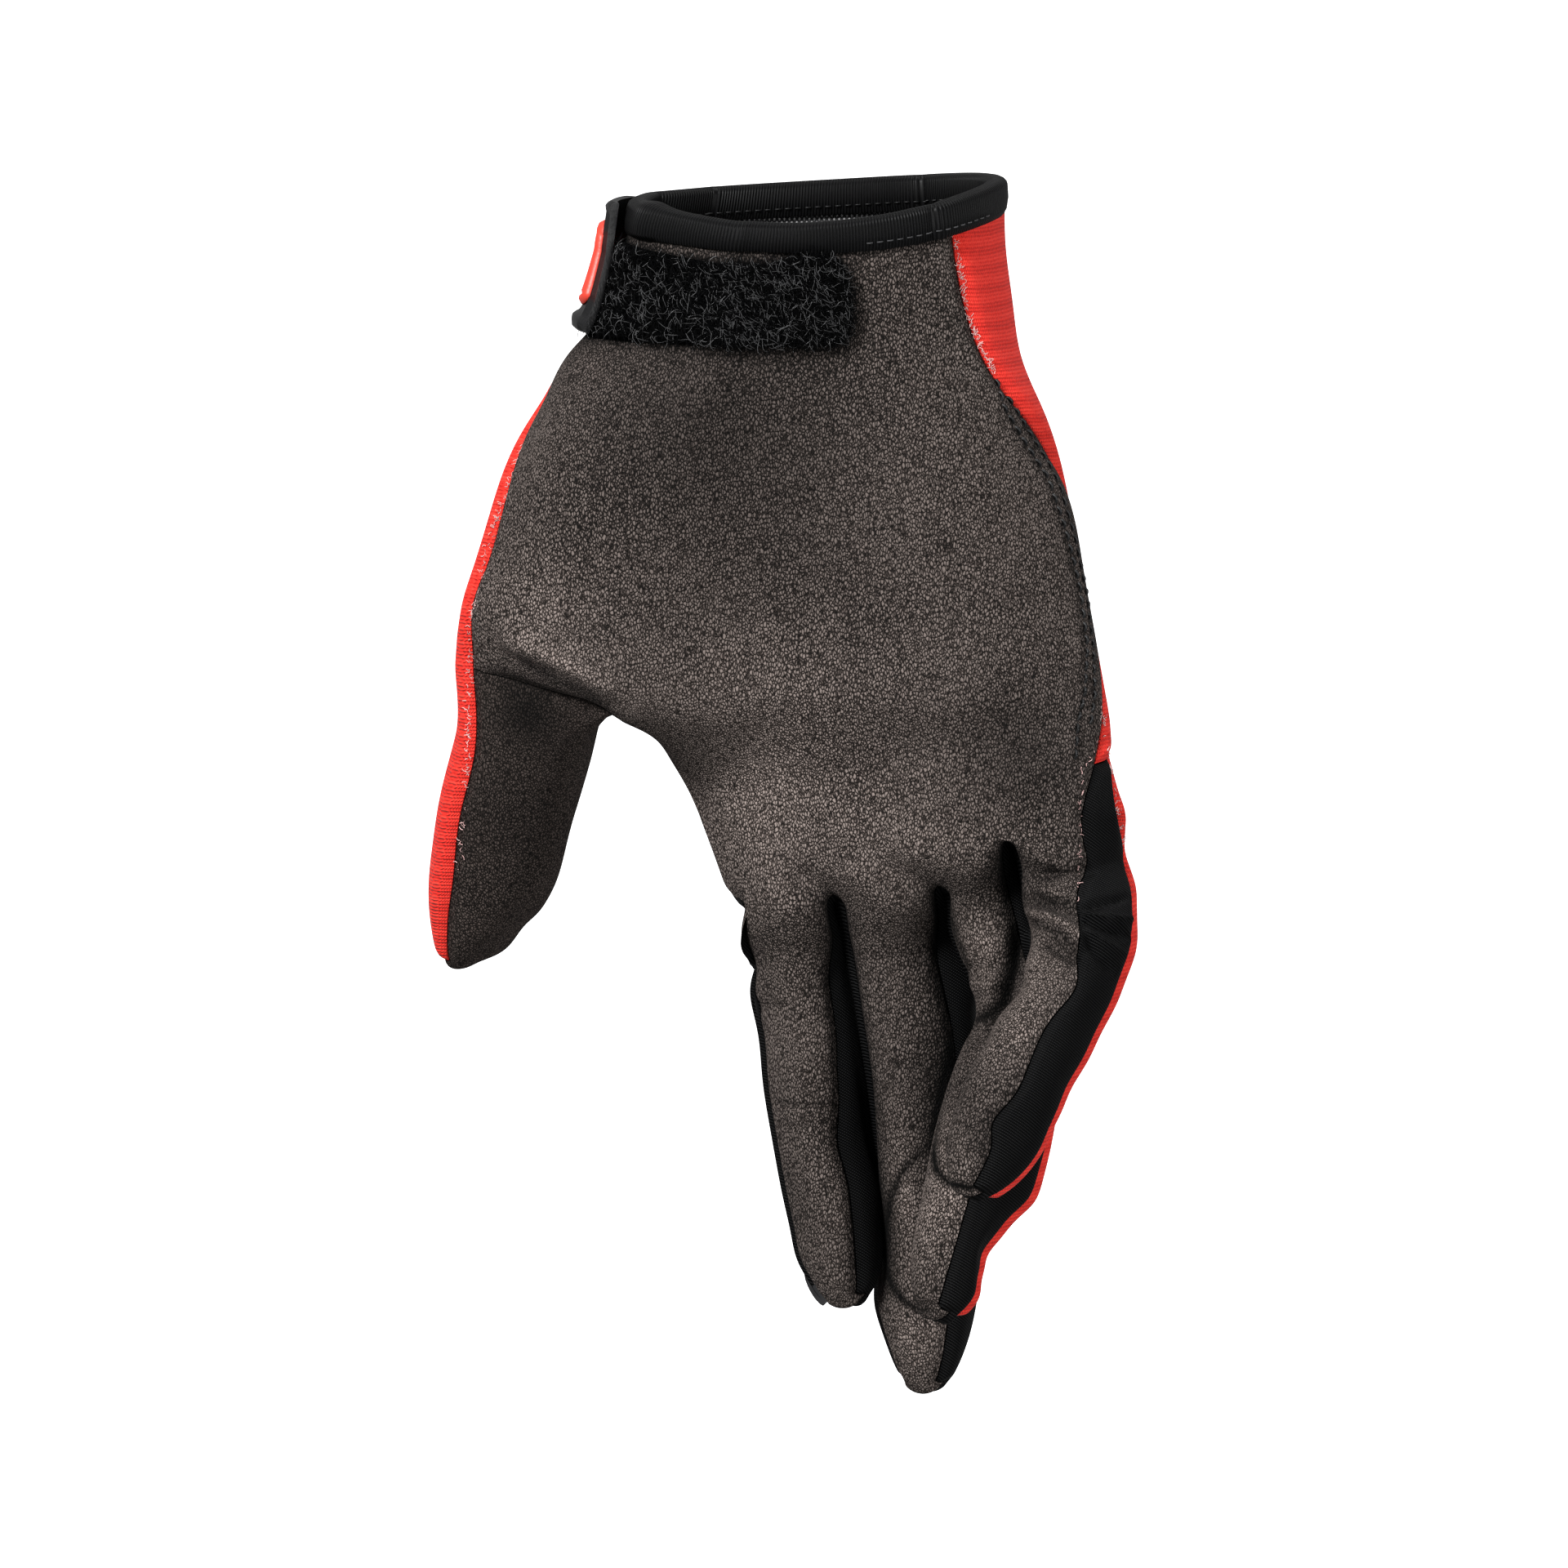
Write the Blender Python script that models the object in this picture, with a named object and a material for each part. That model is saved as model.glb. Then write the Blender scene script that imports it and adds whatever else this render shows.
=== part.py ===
"""Motocross glove for the right hand, in the shape that it has when worn.

Frame: the origin is the middle of the wrist opening, +Z points out of the opening, the fingers hang down,
the palm faces -Y and the thumb is on -X. Lengths are in metres.
"""
import math

import bmesh
import bpy
from mathutils import Vector

# Overall sizes that the tables' shares refer to
HAND_WIDTH = 0.100
HAND_LENGTH = 0.200
HAND_DEPTH = 0.050
FINGER_WIDTH = 0.0180
FINGER_DEPTH = 0.0160
THUMB_WIDTH = 0.0230
THUMB_DEPTH = 0.0200

# Length of each finger beyond its root, and of the thumb
INDEX_LENGTH = 0.0745
MIDDLE_LENGTH = 0.0915
RING_LENGTH = 0.0830
PINKY_LENGTH = 0.0660
THUMB_LENGTH = 0.0570

# Cloth
PANEL_WALL = 0.0013
LINING_WALL = 0.0008
LINING_HEIGHT = 0.0205
GAP = 0.0003
SEAM_GAP = 0.0005

# Binding folded over the cuff edge
BINDING_WALL = 0.0010
BINDING_HEIGHT = 0.0055

# Shares of the way over the binding's crown at which it rises and falls
CROWN_START = 0.25
CROWN_END = 0.75

# Depth below the origin at which the cloth's top edge has passed all round the cuff
CUFF_EDGE_DROP = 0.0055

# Loop tape on the palm
LOOP_LEFT_DEG = 190.0
LOOP_RIGHT_DEG = 285.0
LOOP_HEIGHT = 0.0150
LOOP_THICKNESS = 0.0013
LOOP_TOP = 0.0098
LOOP_CORNER = 0.0045
LOOP_CORNER_SHARES = (1.0, 0.6, 0.3, 0.1, 0.0)

# Closure tab round the thumb side of the wrist, and the rubber patch on it
TAB_HEIGHT = 0.0215
TAB_TOP = 0.0035
TAB_THICKNESS = 0.0018
TAB_RIM = 0.0008
TAB_RIM_COLUMNS = 0.12
TAB_FRONT_DEG = 197.0
TAB_BACK_DEG = 100.0
TAB_RAMP = 0.0030
TAB_RAMP_DEG = 10.0
TAB_RAMP_LEAD_DEG = 45.0
TAB_ROWS = (0.0, 0.08, 0.18, 0.35, 0.5, 0.65, 0.82, 0.92, 1.0)
PATCH_THICKNESS = 0.0009
PATCH_MARGIN = 0.0035
PATCH_FRONT_DEG = 192.0
PATCH_BACK_DEG = 157.0
PATCH_TAPER = 0.18

# Rows of faces from the top to the bottom of the tape and of the patch
PLATE_ROWS = 4

# Cosine between two faces past which they count as two fingers' walls that meet
CROTCH_FACING = -0.3

# Share of the way between two columns round the wrist within which an edge is set on the nearer one
COLUMN_CATCH = 0.2

# Surface. PAD_REACH is how far out from the palm's middle its pads are highest, BEND_SHARE the share of
# a finger over which a bend is eased, and SIDE_MARGIN how near the seams of a gusset its middle may come.
SECTION_POWER = 2.3
PAD_REACH = 0.6
BEND_SHARE = 0.04
SIDE_MARGIN = 0.3
SHARP_DEG = 50.0
SUBDIVISIONS = 1
FIT_ROUNDS = 4

# Sections of the hand from the cuff to the thumb's root. A place across one is -1 at the left outline
# and 1 at the right one, and past 1 or -1 it goes on round the back. x is a share of HAND_WIDTH, z of
# HAND_LENGTH, y and the depths of HAND_DEPTH. split is where the thumb parts from the palm.
SECTION_COLUMNS = ("left_x", "left_z", "right_x", "right_z", "left_y", "right_y", "split",
                   "split_drop", "thenar", "hollow", "hypothenar", "back", "front_drop", "back_drop",
                   "left_seam", "left_back", "right_seam", "right_back")
HAND_SECTIONS = (
    (-0.295, -0.0165, 0.325, 0.001, 0.00, 0.00, -0.31, 0.000,
     0.43, 0.45, 0.43, 0.48, 0.017, 0.002, -1.25, -1.60, 0.46, 1.55),
    (-0.358, -0.118, 0.346, -0.112, 0.00, -0.02, -0.30, 0.000,
     0.43, 0.41, 0.42, 0.44, 0.000, 0.000, -1.25, -1.60, 0.54, 1.52),
    (-0.448, -0.184, 0.386, -0.184, 0.00, -0.05, -0.28, 0.000,
     0.46, 0.36, 0.42, 0.40, 0.000, 0.000, -1.10, -1.50, 0.74, 1.48),
    (-0.512, -0.248, 0.426, -0.246, 0.02, -0.08, -0.28, 0.000,
     0.47, 0.33, 0.42, 0.38, 0.000, 0.000, -0.94, -1.42, 1.04, 1.46),
    (-0.552, -0.310, 0.456, -0.307, 0.04, -0.11, -0.28, 0.002,
     0.46, 0.30, 0.41, 0.37, 0.000, 0.000, -0.89, -1.40, 1.10, 1.44),
    (-0.583, -0.366, 0.478, -0.366, 0.06, -0.14, -0.29, 0.006,
     0.43, 0.28, 0.40, 0.36, 0.000, 0.000, -0.86, -1.40, 1.06, 1.34),
    (-0.592, -0.402, 0.494, -0.424, 0.10, -0.20, -0.31, 0.030,
     0.34, 0.28, 0.38, 0.34, 0.000, 0.000, -0.80, -1.40, 0.98, 1.18),
)

# Sections of the palm below the thumb's root, in the same columns. Here the split is the left edge.
PALM_SECTIONS = (
    (-0.225, -0.494, 0.506, -0.470, 0.10, -0.26, -0.84, 0.000,
     0.24, 0.27, 0.37, 0.33, 0.000, 0.000, -0.84, -1.30, 0.76, 0.97),
    (-0.172, -0.552, 0.516, -0.510, 0.11, -0.30, -0.84, 0.000,
     0.24, 0.28, 0.33, 0.32, 0.000, 0.000, -0.84, -1.30, 0.56, 0.86),
)

# Places between and beside the fingers at their roots: front and back, as shares of the hand's sizes
ROOT_COLUMNS = ("front_x", "front_y", "front_z", "back_x", "back_y", "back_z")
FINGER_ROOTS = (
    (-0.112, -0.06, -0.606, -0.118, 0.18, -0.602),
    (0.041, -0.16, -0.595, 0.034, 0.25, -0.580),
    (0.216, -0.28, -0.582, 0.216, 0.22, -0.565),
    (0.329, -0.46, -0.534, 0.372, 0.04, -0.534),
    (0.452, -0.48, -0.562, 0.530, -0.20, -0.550),
)
ROOT_FRONT_SWELL = 0.0045
ROOT_BACK_SWELL = 0.0030
ROOT_RIGHT_SWELL = Vector((0.0015, -0.0010, 0.0))
ROOT_LEFT_SWELL = Vector((-0.0020, 0.0, 0.0))
CROTCH_LIFT = 0.0015
WEB_DROP = 0.0025

# Bones of each finger: share of the finger's length, swing to the right and lean to the palm's side
# in degrees
BONE_COLUMNS = ("share", "swing", "lean")
FINGER_BONES = {
    "index": ((0.34, 9.5, -7.0), (0.34, 7.0, 10.0), (0.32, 11.0, 18.0)),
    "middle": ((0.34, 13.0, 4.0), (0.34, 2.5, -3.0), (0.32, -2.0, 6.0)),
    "ring": ((0.32, 19.0, 20.0), (0.35, -14.5, 12.0), (0.33, -20.0, 19.0)),
    "pinky": ((0.30, 11.0, 40.0), (0.33, -28.0, 28.0), (0.37, -28.0, 18.0)),
    "thumb": ((0.42, -17.0, -18.0), (0.58, -13.0, -20.0)),
}

# Rings along each finger: share of the length, width and depth as shares of the finger's sizes, and the turn
# of the palm side towards the thumb in degrees
RING_COLUMNS = ("along", "width", "depth", "turn")
FINGER_RINGS = {
    "index": ((0.13, 0.96, 1.02, 10), (0.31, 1.05, 1.02, 18), (0.45, 1.01, 1.03, 22),
              (0.62, 0.93, 0.95, 22), (0.75, 0.88, 0.92, 22), (0.88, 0.70, 0.78, 22),
              (0.97, 0.40, 0.42, 22)),
    "middle": ((0.13, 0.97, 1.08, 12), (0.31, 1.12, 1.06, 22), (0.45, 1.06, 1.10, 26),
               (0.62, 1.02, 1.12, 28), (0.75, 1.00, 1.08, 30), (0.88, 0.84, 0.92, 30),
               (0.97, 0.48, 0.50, 30)),
    "ring": ((0.13, 1.00, 1.06, 32), (0.31, 0.97, 1.06, 44), (0.45, 1.00, 1.12, 50),
             (0.62, 1.00, 1.30, 54), (0.75, 0.94, 1.12, 56), (0.88, 0.82, 0.90, 56),
             (0.97, 0.48, 0.50, 56)),
    "pinky": ((0.13, 0.92, 1.12, 42), (0.29, 0.98, 1.22, 48), (0.45, 0.98, 1.24, 50),
              (0.62, 0.98, 1.20, 52), (0.76, 0.94, 1.08, 52), (0.89, 0.78, 0.86, 52),
              (0.97, 0.45, 0.48, 52)),
    "thumb": ((0.20, 1.04, 1.00, -10), (0.42, 1.00, 0.96, -14), (0.62, 0.98, 0.94, -16),
              (0.80, 0.90, 0.84, -16), (0.95, 0.56, 0.52, -16)),
}

# Places round a ring in degrees from its front: middle, right, right back, back, left back and left
RING_DEGREES = (0, 90, 130, 180, 230, 270)

# How far the palm side goes round each finger to its left and its right, in degrees
FRONT_SPANS = {
    "index": (-76, 50),
    "middle": (-62, 56),
    "ring": (-55, 50),
    "pinky": (-60, 52),
    "thumb": (-60, 50),
}

# Colour, roughness and metallic of each material
SUEDE = ("suede", (0.115, 0.098, 0.090), 0.92, 0.0)
RED_KNIT = ("red_knit", (0.70, 0.035, 0.018), 0.80, 0.0)
BLACK_STRETCH = ("black_stretch", (0.006, 0.006, 0.007), 0.62, 0.0)
BLACK_BINDING = ("black_binding", (0.008, 0.008, 0.009), 0.70, 0.0)
DARK_MESH = ("dark_mesh", (0.020, 0.020, 0.021), 0.85, 0.0)
LOOP_FUZZ = ("loop_fuzz", (0.010, 0.010, 0.011), 0.95, 0.0)
BLACK_MOULDED = ("black_moulded", (0.010, 0.010, 0.011), 0.50, 0.0)
RED_RUBBER = ("red_rubber", (0.62, 0.060, 0.035), 0.45, 0.0)

# Columns of the sections: the thumb takes the first two of the front and the last two of the back
FRONT_STEPS = 10
THUMB_STEPS = 2
FINGERS = ("index", "middle", "ring", "pinky")
LENGTHS = {"index": INDEX_LENGTH, "middle": MIDDLE_LENGTH, "ring": RING_LENGTH, "pinky": PINKY_LENGTH,
           "thumb": THUMB_LENGTH}
SIDE_GUSSETS = {"index": ("index_outer_gusset", "index_middle_gusset"),
                "middle": ("index_middle_gusset", "middle_ring_gusset"),
                "ring": ("middle_ring_gusset", "ring_pinky_gusset"),
                "pinky": ("ring_pinky_gusset", "pinky_outer_gusset")}
PANELS = ("palm_panel", "thumb_panel", "back_panel", "index_outer_gusset", "index_middle_gusset",
          "middle_ring_gusset", "ring_pinky_gusset", "pinky_outer_gusset")


def clear_scene():
    for scene_object in list(bpy.data.objects):
        bpy.data.objects.remove(scene_object, do_unlink=True)


def mix(start, end, share):
    return start + (end - start) * share


def across_at(place):
    """How far left or right, -1 to 1, a place round a section lies."""
    sine = math.sin(place * math.pi / 2.0)
    return math.copysign(abs(sine) ** (2.0 / SECTION_POWER), sine)


def side_middle(seam, back):
    """A place between two seams round a side, on the outline itself where that lies between them."""
    outline = math.copysign(1.0, back)
    lowest, highest = sorted((mix(seam, back, SIDE_MARGIN), mix(seam, back, 1.0 - SIDE_MARGIN)))
    return min(highest, max(lowest, outline))


def section_point(section, place):
    """A point of one section: on the front for a place within -1 to 1, and past that round the back."""
    on_front = abs(place) <= 1.0
    across = across_at(place)
    share = (across + 1.0) / 2.0
    split_share = (across_at(section["split"]) + 1.0) / 2.0
    left = Vector((section["left_x"], section["left_y"], section["left_z"]))
    right = Vector((section["right_x"], section["right_y"], section["right_z"]))
    point = left.lerp(right, share)
    drop = share / split_share if share < split_share else (1.0 - share) / (1.0 - split_share)
    point.z -= section["split_drop"] * min(1.0, drop)
    roundness = max(0.0, 1.0 - abs(across) ** SECTION_POWER) ** (1.0 / SECTION_POWER)
    if on_front:
        if across < 0.0:
            depth = mix(section["hollow"], section["thenar"], min(1.0, -across / PAD_REACH))
        else:
            depth = mix(section["hollow"], section["hypothenar"], min(1.0, across / PAD_REACH))
        point.y -= depth * roundness
        point.z -= section["front_drop"] * (1.0 - across * across)
    else:
        point.y += section["back"] * roundness
        point.z -= section["back_drop"] * (1.0 - across * across)
    return Vector((point.x * HAND_WIDTH, point.y * HAND_DEPTH, point.z * HAND_LENGTH))


def section_ring(section, with_thumb):
    """The points round one section, from the left seam over the front and back to the left side."""
    split_back = -2.0 - section["split"]
    left_back = section["left_back"]
    right_back = section["right_back"]
    palm_steps = FRONT_STEPS - THUMB_STEPS
    places = []
    if with_thumb:
        places += [section["left_seam"], mix(section["left_seam"], section["split"], 0.5)]
    palm_end = section["right_seam"]
    places += [mix(section["split"], palm_end, step / palm_steps) for step in range(palm_steps + 1)]
    places.append(side_middle(section["right_seam"], right_back))
    split_end = 4.0 + (split_back if with_thumb else left_back)
    places += [mix(right_back, split_end, step / palm_steps) for step in range(palm_steps + 1)]
    if with_thumb:
        places += [mix(split_end, 4.0 + left_back, 0.5), 4.0 + left_back]
        places.append(side_middle(section["left_seam"], left_back))
    else:
        places.append(side_middle(section["split"], left_back))
    return [section_point(section, place - 4.0 if place > 2.0 else place) for place in places]


def root_ring():
    """The points round the palm where the fingers start, in the order of a section without a thumb."""
    sizes = Vector((HAND_WIDTH, HAND_DEPTH, HAND_LENGTH))
    front = []
    back = []
    for row in FINGER_ROOTS:
        place = dict(zip(ROOT_COLUMNS, row))
        front.append(Vector((place["front_x"], place["front_y"], place["front_z"])) * sizes)
        back.append(Vector((place["back_x"], place["back_y"], place["back_z"])) * sizes)

    def with_middles(corners, swell):
        points = [corners[0]]
        for near, far in zip(corners, corners[1:]):
            points.append(near.lerp(far, 0.5) + Vector((0.0, swell, 0.0)))
            points.append(far)
        return points

    front_points = with_middles(front, -ROOT_FRONT_SWELL)
    back_points = with_middles(back, ROOT_BACK_SWELL)
    right_side = front[-1].lerp(back[-1], 0.5) + ROOT_RIGHT_SWELL
    left_side = front[0].lerp(back[0], 0.5) + ROOT_LEFT_SWELL
    return front_points + [right_side] + back_points[::-1] + [left_side]


def bone_chain(name, start):
    """The joints of one finger, from the middle of its root to its tip."""
    joints = [start]
    for row in FINGER_BONES[name]:
        bone = dict(zip(BONE_COLUMNS, row))
        swing = math.radians(bone["swing"])
        lean = math.radians(bone["lean"])
        across = math.cos(lean)
        direction = Vector((math.sin(swing) * across, -math.sin(lean), -math.cos(swing) * across))
        joints.append(joints[-1] + direction * (bone["share"] * LENGTHS[name]))
    return joints


def chain_point(name, joints, along):
    """The place in a finger's middle at a share of its length."""
    reach = 0.0
    for index, row in enumerate(FINGER_BONES[name]):
        share = dict(zip(BONE_COLUMNS, row))["share"]
        if along <= reach + share or index == len(FINGER_BONES[name]) - 1:
            return joints[index].lerp(joints[index + 1], (along - reach) / share)
        reach += share
    return joints[-1]


def finger_rings(name, root):
    """The rings of eight points down one finger: its front's left, middle and right, sides and back."""
    centre = sum(root, Vector()) / len(root)
    joints = bone_chain(name, centre)
    width_size = THUMB_WIDTH if name == "thumb" else FINGER_WIDTH
    depth_size = THUMB_DEPTH if name == "thumb" else FINGER_DEPTH
    rings = []
    for row in FINGER_RINGS[name]:
        ring = dict(zip(RING_COLUMNS, row))
        place = chain_point(name, joints, ring["along"])
        ahead = chain_point(name, joints, min(1.0, ring["along"] + BEND_SHARE))
        behind = chain_point(name, joints, max(0.0, ring["along"] - BEND_SHARE))
        direction = (ahead - behind).normalized()
        turn = math.radians(ring["turn"])
        palm_side = Vector((-math.sin(turn), -math.cos(turn), 0.0))
        palm_side = (palm_side - direction * palm_side.dot(direction)).normalized()
        right_side = palm_side.cross(direction).normalized()
        if right_side.x < 0.0:
            right_side.negate()
        points = []
        left, right = FRONT_SPANS[name]
        for degrees in (left, RING_DEGREES[0], right, *RING_DEGREES[1:]):
            angle = math.radians(degrees)
            across = right_side * (math.sin(angle) * ring["width"] * width_size / 2.0)
            forward = palm_side * (math.cos(angle) * ring["depth"] * depth_size / 2.0)
            points.append(place + across + forward)
        rings.append(points)
    return rings, joints[-1]


class Cage:
    """Points, four-sided faces and the panel of each face."""

    def __init__(self):
        self.points = []
        self.faces = []
        self.panels = []

    def add_points(self, points):
        first = len(self.points)
        self.points += points
        return list(range(first, first + len(points)))

    def bridge(self, upper, lower, panel_of_step):
        """Join two closed rows of the same length. The panel of each step comes from panel_of_step."""
        count = len(upper)
        for step in range(count):
            ahead = (step + 1) % count
            self.faces.append((upper[step], lower[step], lower[ahead], upper[ahead]))
            self.panels.append(PANELS.index(panel_of_step(step)))


def hand_panel(step):
    """Panel of a step round the hand above the thumb's root."""
    return "palm_panel" if step < FRONT_STEPS else "back_panel"


def palm_panel_step(step, gusset_starts):
    """Panel of a step round the palm below the thumb's root."""
    palm_steps = FRONT_STEPS - THUMB_STEPS
    if step < palm_steps:
        return "palm_panel"
    if step < palm_steps + 2:
        return "pinky_outer_gusset" if gusset_starts else "back_panel"
    if step < 2 * palm_steps + 2:
        return "back_panel"
    return "palm_panel"


def finger_panel(name, step):
    if name == "thumb":
        return "thumb_panel" if step < 4 else "back_panel"
    if step < 2:
        return "palm_panel"
    if 4 <= step < 6:
        return "back_panel"
    left_gusset, right_gusset = SIDE_GUSSETS[name]
    return right_gusset if step < 4 else left_gusset


def build_cage():
    cage = Cage()
    hand_sections = [dict(zip(SECTION_COLUMNS, row)) for row in HAND_SECTIONS]
    hand_rows = [cage.add_points(section_ring(section, True)) for section in hand_sections]
    for upper, lower in zip(hand_rows, hand_rows[1:]):
        cage.bridge(upper, lower, hand_panel)

    split = hand_rows[-1]
    palm_steps = FRONT_STEPS - THUMB_STEPS
    back_split = 2 * FRONT_STEPS + 2 - THUMB_STEPS
    crotch_middle = cage.points[split[THUMB_STEPS]].lerp(cage.points[split[back_split]], 0.5)
    crotch = cage.add_points([crotch_middle + Vector((0.0, 0.0, CROTCH_LIFT))])[0]
    palm_top = split[THUMB_STEPS:back_split + 1] + [crotch]
    thumb_top = split[:THUMB_STEPS + 1] + [crotch] + split[back_split:]

    palm_rows = [palm_top]
    for row in PALM_SECTIONS:
        palm_rows.append(cage.add_points(section_ring(dict(zip(SECTION_COLUMNS, row)), False)))
    palm_rows.append(cage.add_points(root_ring()))
    for level, (upper, lower) in enumerate(zip(palm_rows, palm_rows[1:])):
        cage.bridge(upper, lower, lambda step: palm_panel_step(step, level > 0))

    roots = palm_rows[-1]
    front = roots[:palm_steps + 1]
    back = roots[palm_steps + 2:2 * palm_steps + 3][::-1]
    sides = [roots[-1]]
    for place in (2, 4, 6):
        middle = cage.points[front[place]].lerp(cage.points[back[place]], 0.5)
        sides += cage.add_points([middle - Vector((0.0, 0.0, WEB_DROP))])
    sides.append(roots[palm_steps + 1])

    starts = {"thumb": thumb_top}
    for number, name in enumerate(FINGERS):
        first = 2 * number
        starts[name] = (front[first:first + 3] + [sides[number + 1]] + back[first:first + 3][::-1]
                        + [sides[number]])
    for name, start in starts.items():
        rings, tip = finger_rings(name, [cage.points[point] for point in start])
        upper = start
        for ring in rings:
            lower = cage.add_points(ring)
            cage.bridge(upper, lower, lambda step: finger_panel(name, step))
            upper = lower
        centre = cage.add_points([tip])[0]
        front_cap = "thumb_panel" if name == "thumb" else "palm_panel"
        left_cap, right_cap = SIDE_GUSSETS.get(name, ("thumb_panel", "thumb_panel"))
        for corner, cap in ((0, front_cap), (2, front_cap), (4, right_cap), (6, left_cap)):
            cage.faces.append((upper[corner], upper[(corner - 1) % 8], centre, upper[(corner + 1) % 8]))
            cage.panels.append(PANELS.index(cap))
    return cage


def mesh_from(points, faces, panels):
    mesh = bpy.data.meshes.new("shell")
    mesh.from_pydata([tuple(point) for point in points], [], faces)
    mesh.polygons.foreach_set("material_index", panels)
    return mesh


def smoothed(points, faces, panels, levels):
    """The points, faces and panels of the cage after its subdivision. The cage's own points come first."""
    mesh = mesh_from(points, faces, panels)
    holder = bpy.data.objects.new("shell_holder", mesh)
    bpy.context.collection.objects.link(holder)
    for panel in PANELS:
        mesh.materials.append(None)
    modifier = holder.modifiers.new("smooth", "SUBSURF")
    modifier.levels = levels
    modifier.render_levels = levels
    modifier.boundary_smooth = "ALL"
    fine = holder.evaluated_get(bpy.context.evaluated_depsgraph_get()).to_mesh()
    fine_points = [vertex.co.copy() for vertex in fine.vertices]
    fine_faces = [tuple(polygon.vertices) for polygon in fine.polygons]
    fine_panels = [polygon.material_index for polygon in fine.polygons]
    bpy.data.objects.remove(holder, do_unlink=True)
    bpy.data.meshes.remove(mesh)
    return fine_points, fine_faces, fine_panels


def fitted_shell(cage):
    """The smooth outer surface, whose cage is pushed out until the surface passes through the sections."""
    points = [point.copy() for point in cage.points]
    for _ in range(FIT_ROUNDS):
        fine_points = smoothed(points, cage.faces, cage.panels, SUBDIVISIONS)[0]
        for index, target in enumerate(cage.points):
            points[index] += target - fine_points[index]
    return smoothed(points, cage.faces, cage.panels, SUBDIVISIONS)


def shell_bmesh(fine_points, fine_faces, fine_panels):
    shell = bmesh.new()
    vertices = [shell.verts.new(point) for point in fine_points]
    for face, panel in zip(fine_faces, fine_panels):
        shell.faces.new([vertices[index] for index in face]).material_index = panel
    shell.normal_update()
    for table in (shell.verts, shell.edges, shell.faces):
        table.ensure_lookup_table()
        table.index_update()
    return shell


def make_material(values):
    name, colour, roughness, metallic = values
    if name in bpy.data.materials:
        return bpy.data.materials[name]
    material = bpy.data.materials.new(name)
    material.use_nodes = True
    shader = material.node_tree.nodes["Principled BSDF"]
    shader.inputs["Base Color"].default_value = (*colour, 1.0)
    shader.inputs["Roughness"].default_value = roughness
    shader.inputs["Metallic"].default_value = metallic
    return material


def add_object(name, points, faces, material):
    mesh = bpy.data.meshes.new(name)
    mesh.from_pydata([tuple(point) for point in points], [], faces)
    mesh.validate()
    mesh.materials.append(make_material(material))
    mesh.shade_smooth()
    mesh.set_sharp_from_angle(angle=math.radians(SHARP_DEG))
    scene_object = bpy.data.objects.new(name, mesh)
    bpy.context.collection.objects.link(scene_object)
    return scene_object


def wall_normal(vertex):
    """The way out of the cloth at a vertex. Between two fingers, where the walls meet, it turns down."""
    normals = [face.normal for face in vertex.link_faces]
    facing = min(one.dot(other) for one in normals for other in normals)
    if facing > CROTCH_FACING:
        return vertex.normal
    return (vertex.normal + Vector((0.0, 0.0, -1.0))).normalized()


def seam_pull(vertex, inside):
    """How a panel's edge is drawn back from its seam, square to the seam and along the cloth."""
    seam_edges = [edge for edge in vertex.link_edges
                  if len(edge.link_faces) == 2 and len(inside.intersection(edge.link_faces)) == 1]
    if not seam_edges:
        return Vector()
    own_edges = [edge for edge in vertex.link_edges
                 if edge not in seam_edges and inside.intersection(edge.link_faces)]
    ways = [(edge.other_vert(vertex).co - vertex.co).normalized() for edge in own_edges or seam_edges]
    pull = sum(ways, Vector()).normalized()
    seam = [(edge.other_vert(vertex).co - vertex.co).normalized() for edge in seam_edges]
    if own_edges and len(seam) == 2:
        tangent = (seam[0] - seam[1]).normalized()
        pull = (pull - tangent * pull.dot(tangent)).normalized()
    slant = max(0.5, min(math.sqrt(max(0.0, 1.0 - pull.dot(way) ** 2)) for way in seam))
    return pull * (SEAM_GAP / 2.0 / slant)


def panel_solid(shell, name, material):
    """One panel of cloth: its part of the shell, drawn back at the seams and given a wall inwards."""
    panel = PANELS.index(name)
    faces = [face for face in shell.faces if face.material_index == panel]
    inside = set(faces)
    numbers = {}
    outer = []
    inner = []
    for face in faces:
        for vertex in face.verts:
            if vertex in numbers:
                continue
            numbers[vertex] = len(outer)
            place = vertex.co + seam_pull(vertex, inside)
            outer.append(place)
            inner.append(place - wall_normal(vertex) * PANEL_WALL)
    count = len(outer)
    solid_faces = []
    for face in faces:
        corners = [numbers[vertex] for vertex in face.verts]
        solid_faces.append(tuple(corners))
        solid_faces.append(tuple(corner + count for corner in reversed(corners)))
        for loop in face.loops:
            others = [other for other in loop.edge.link_faces if other is not face and other in inside]
            if not others:
                first, second = loop.vert, loop.link_loop_next.vert
                start, end = numbers[first], numbers[second]
                if first.co.z > second.co.z:
                    solid_faces += [(end, start, end + count), (start, start + count, end + count)]
                else:
                    solid_faces += [(end, start, start + count), (end, start + count, end + count)]
    return add_object(name, outer + inner, solid_faces, material)


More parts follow.
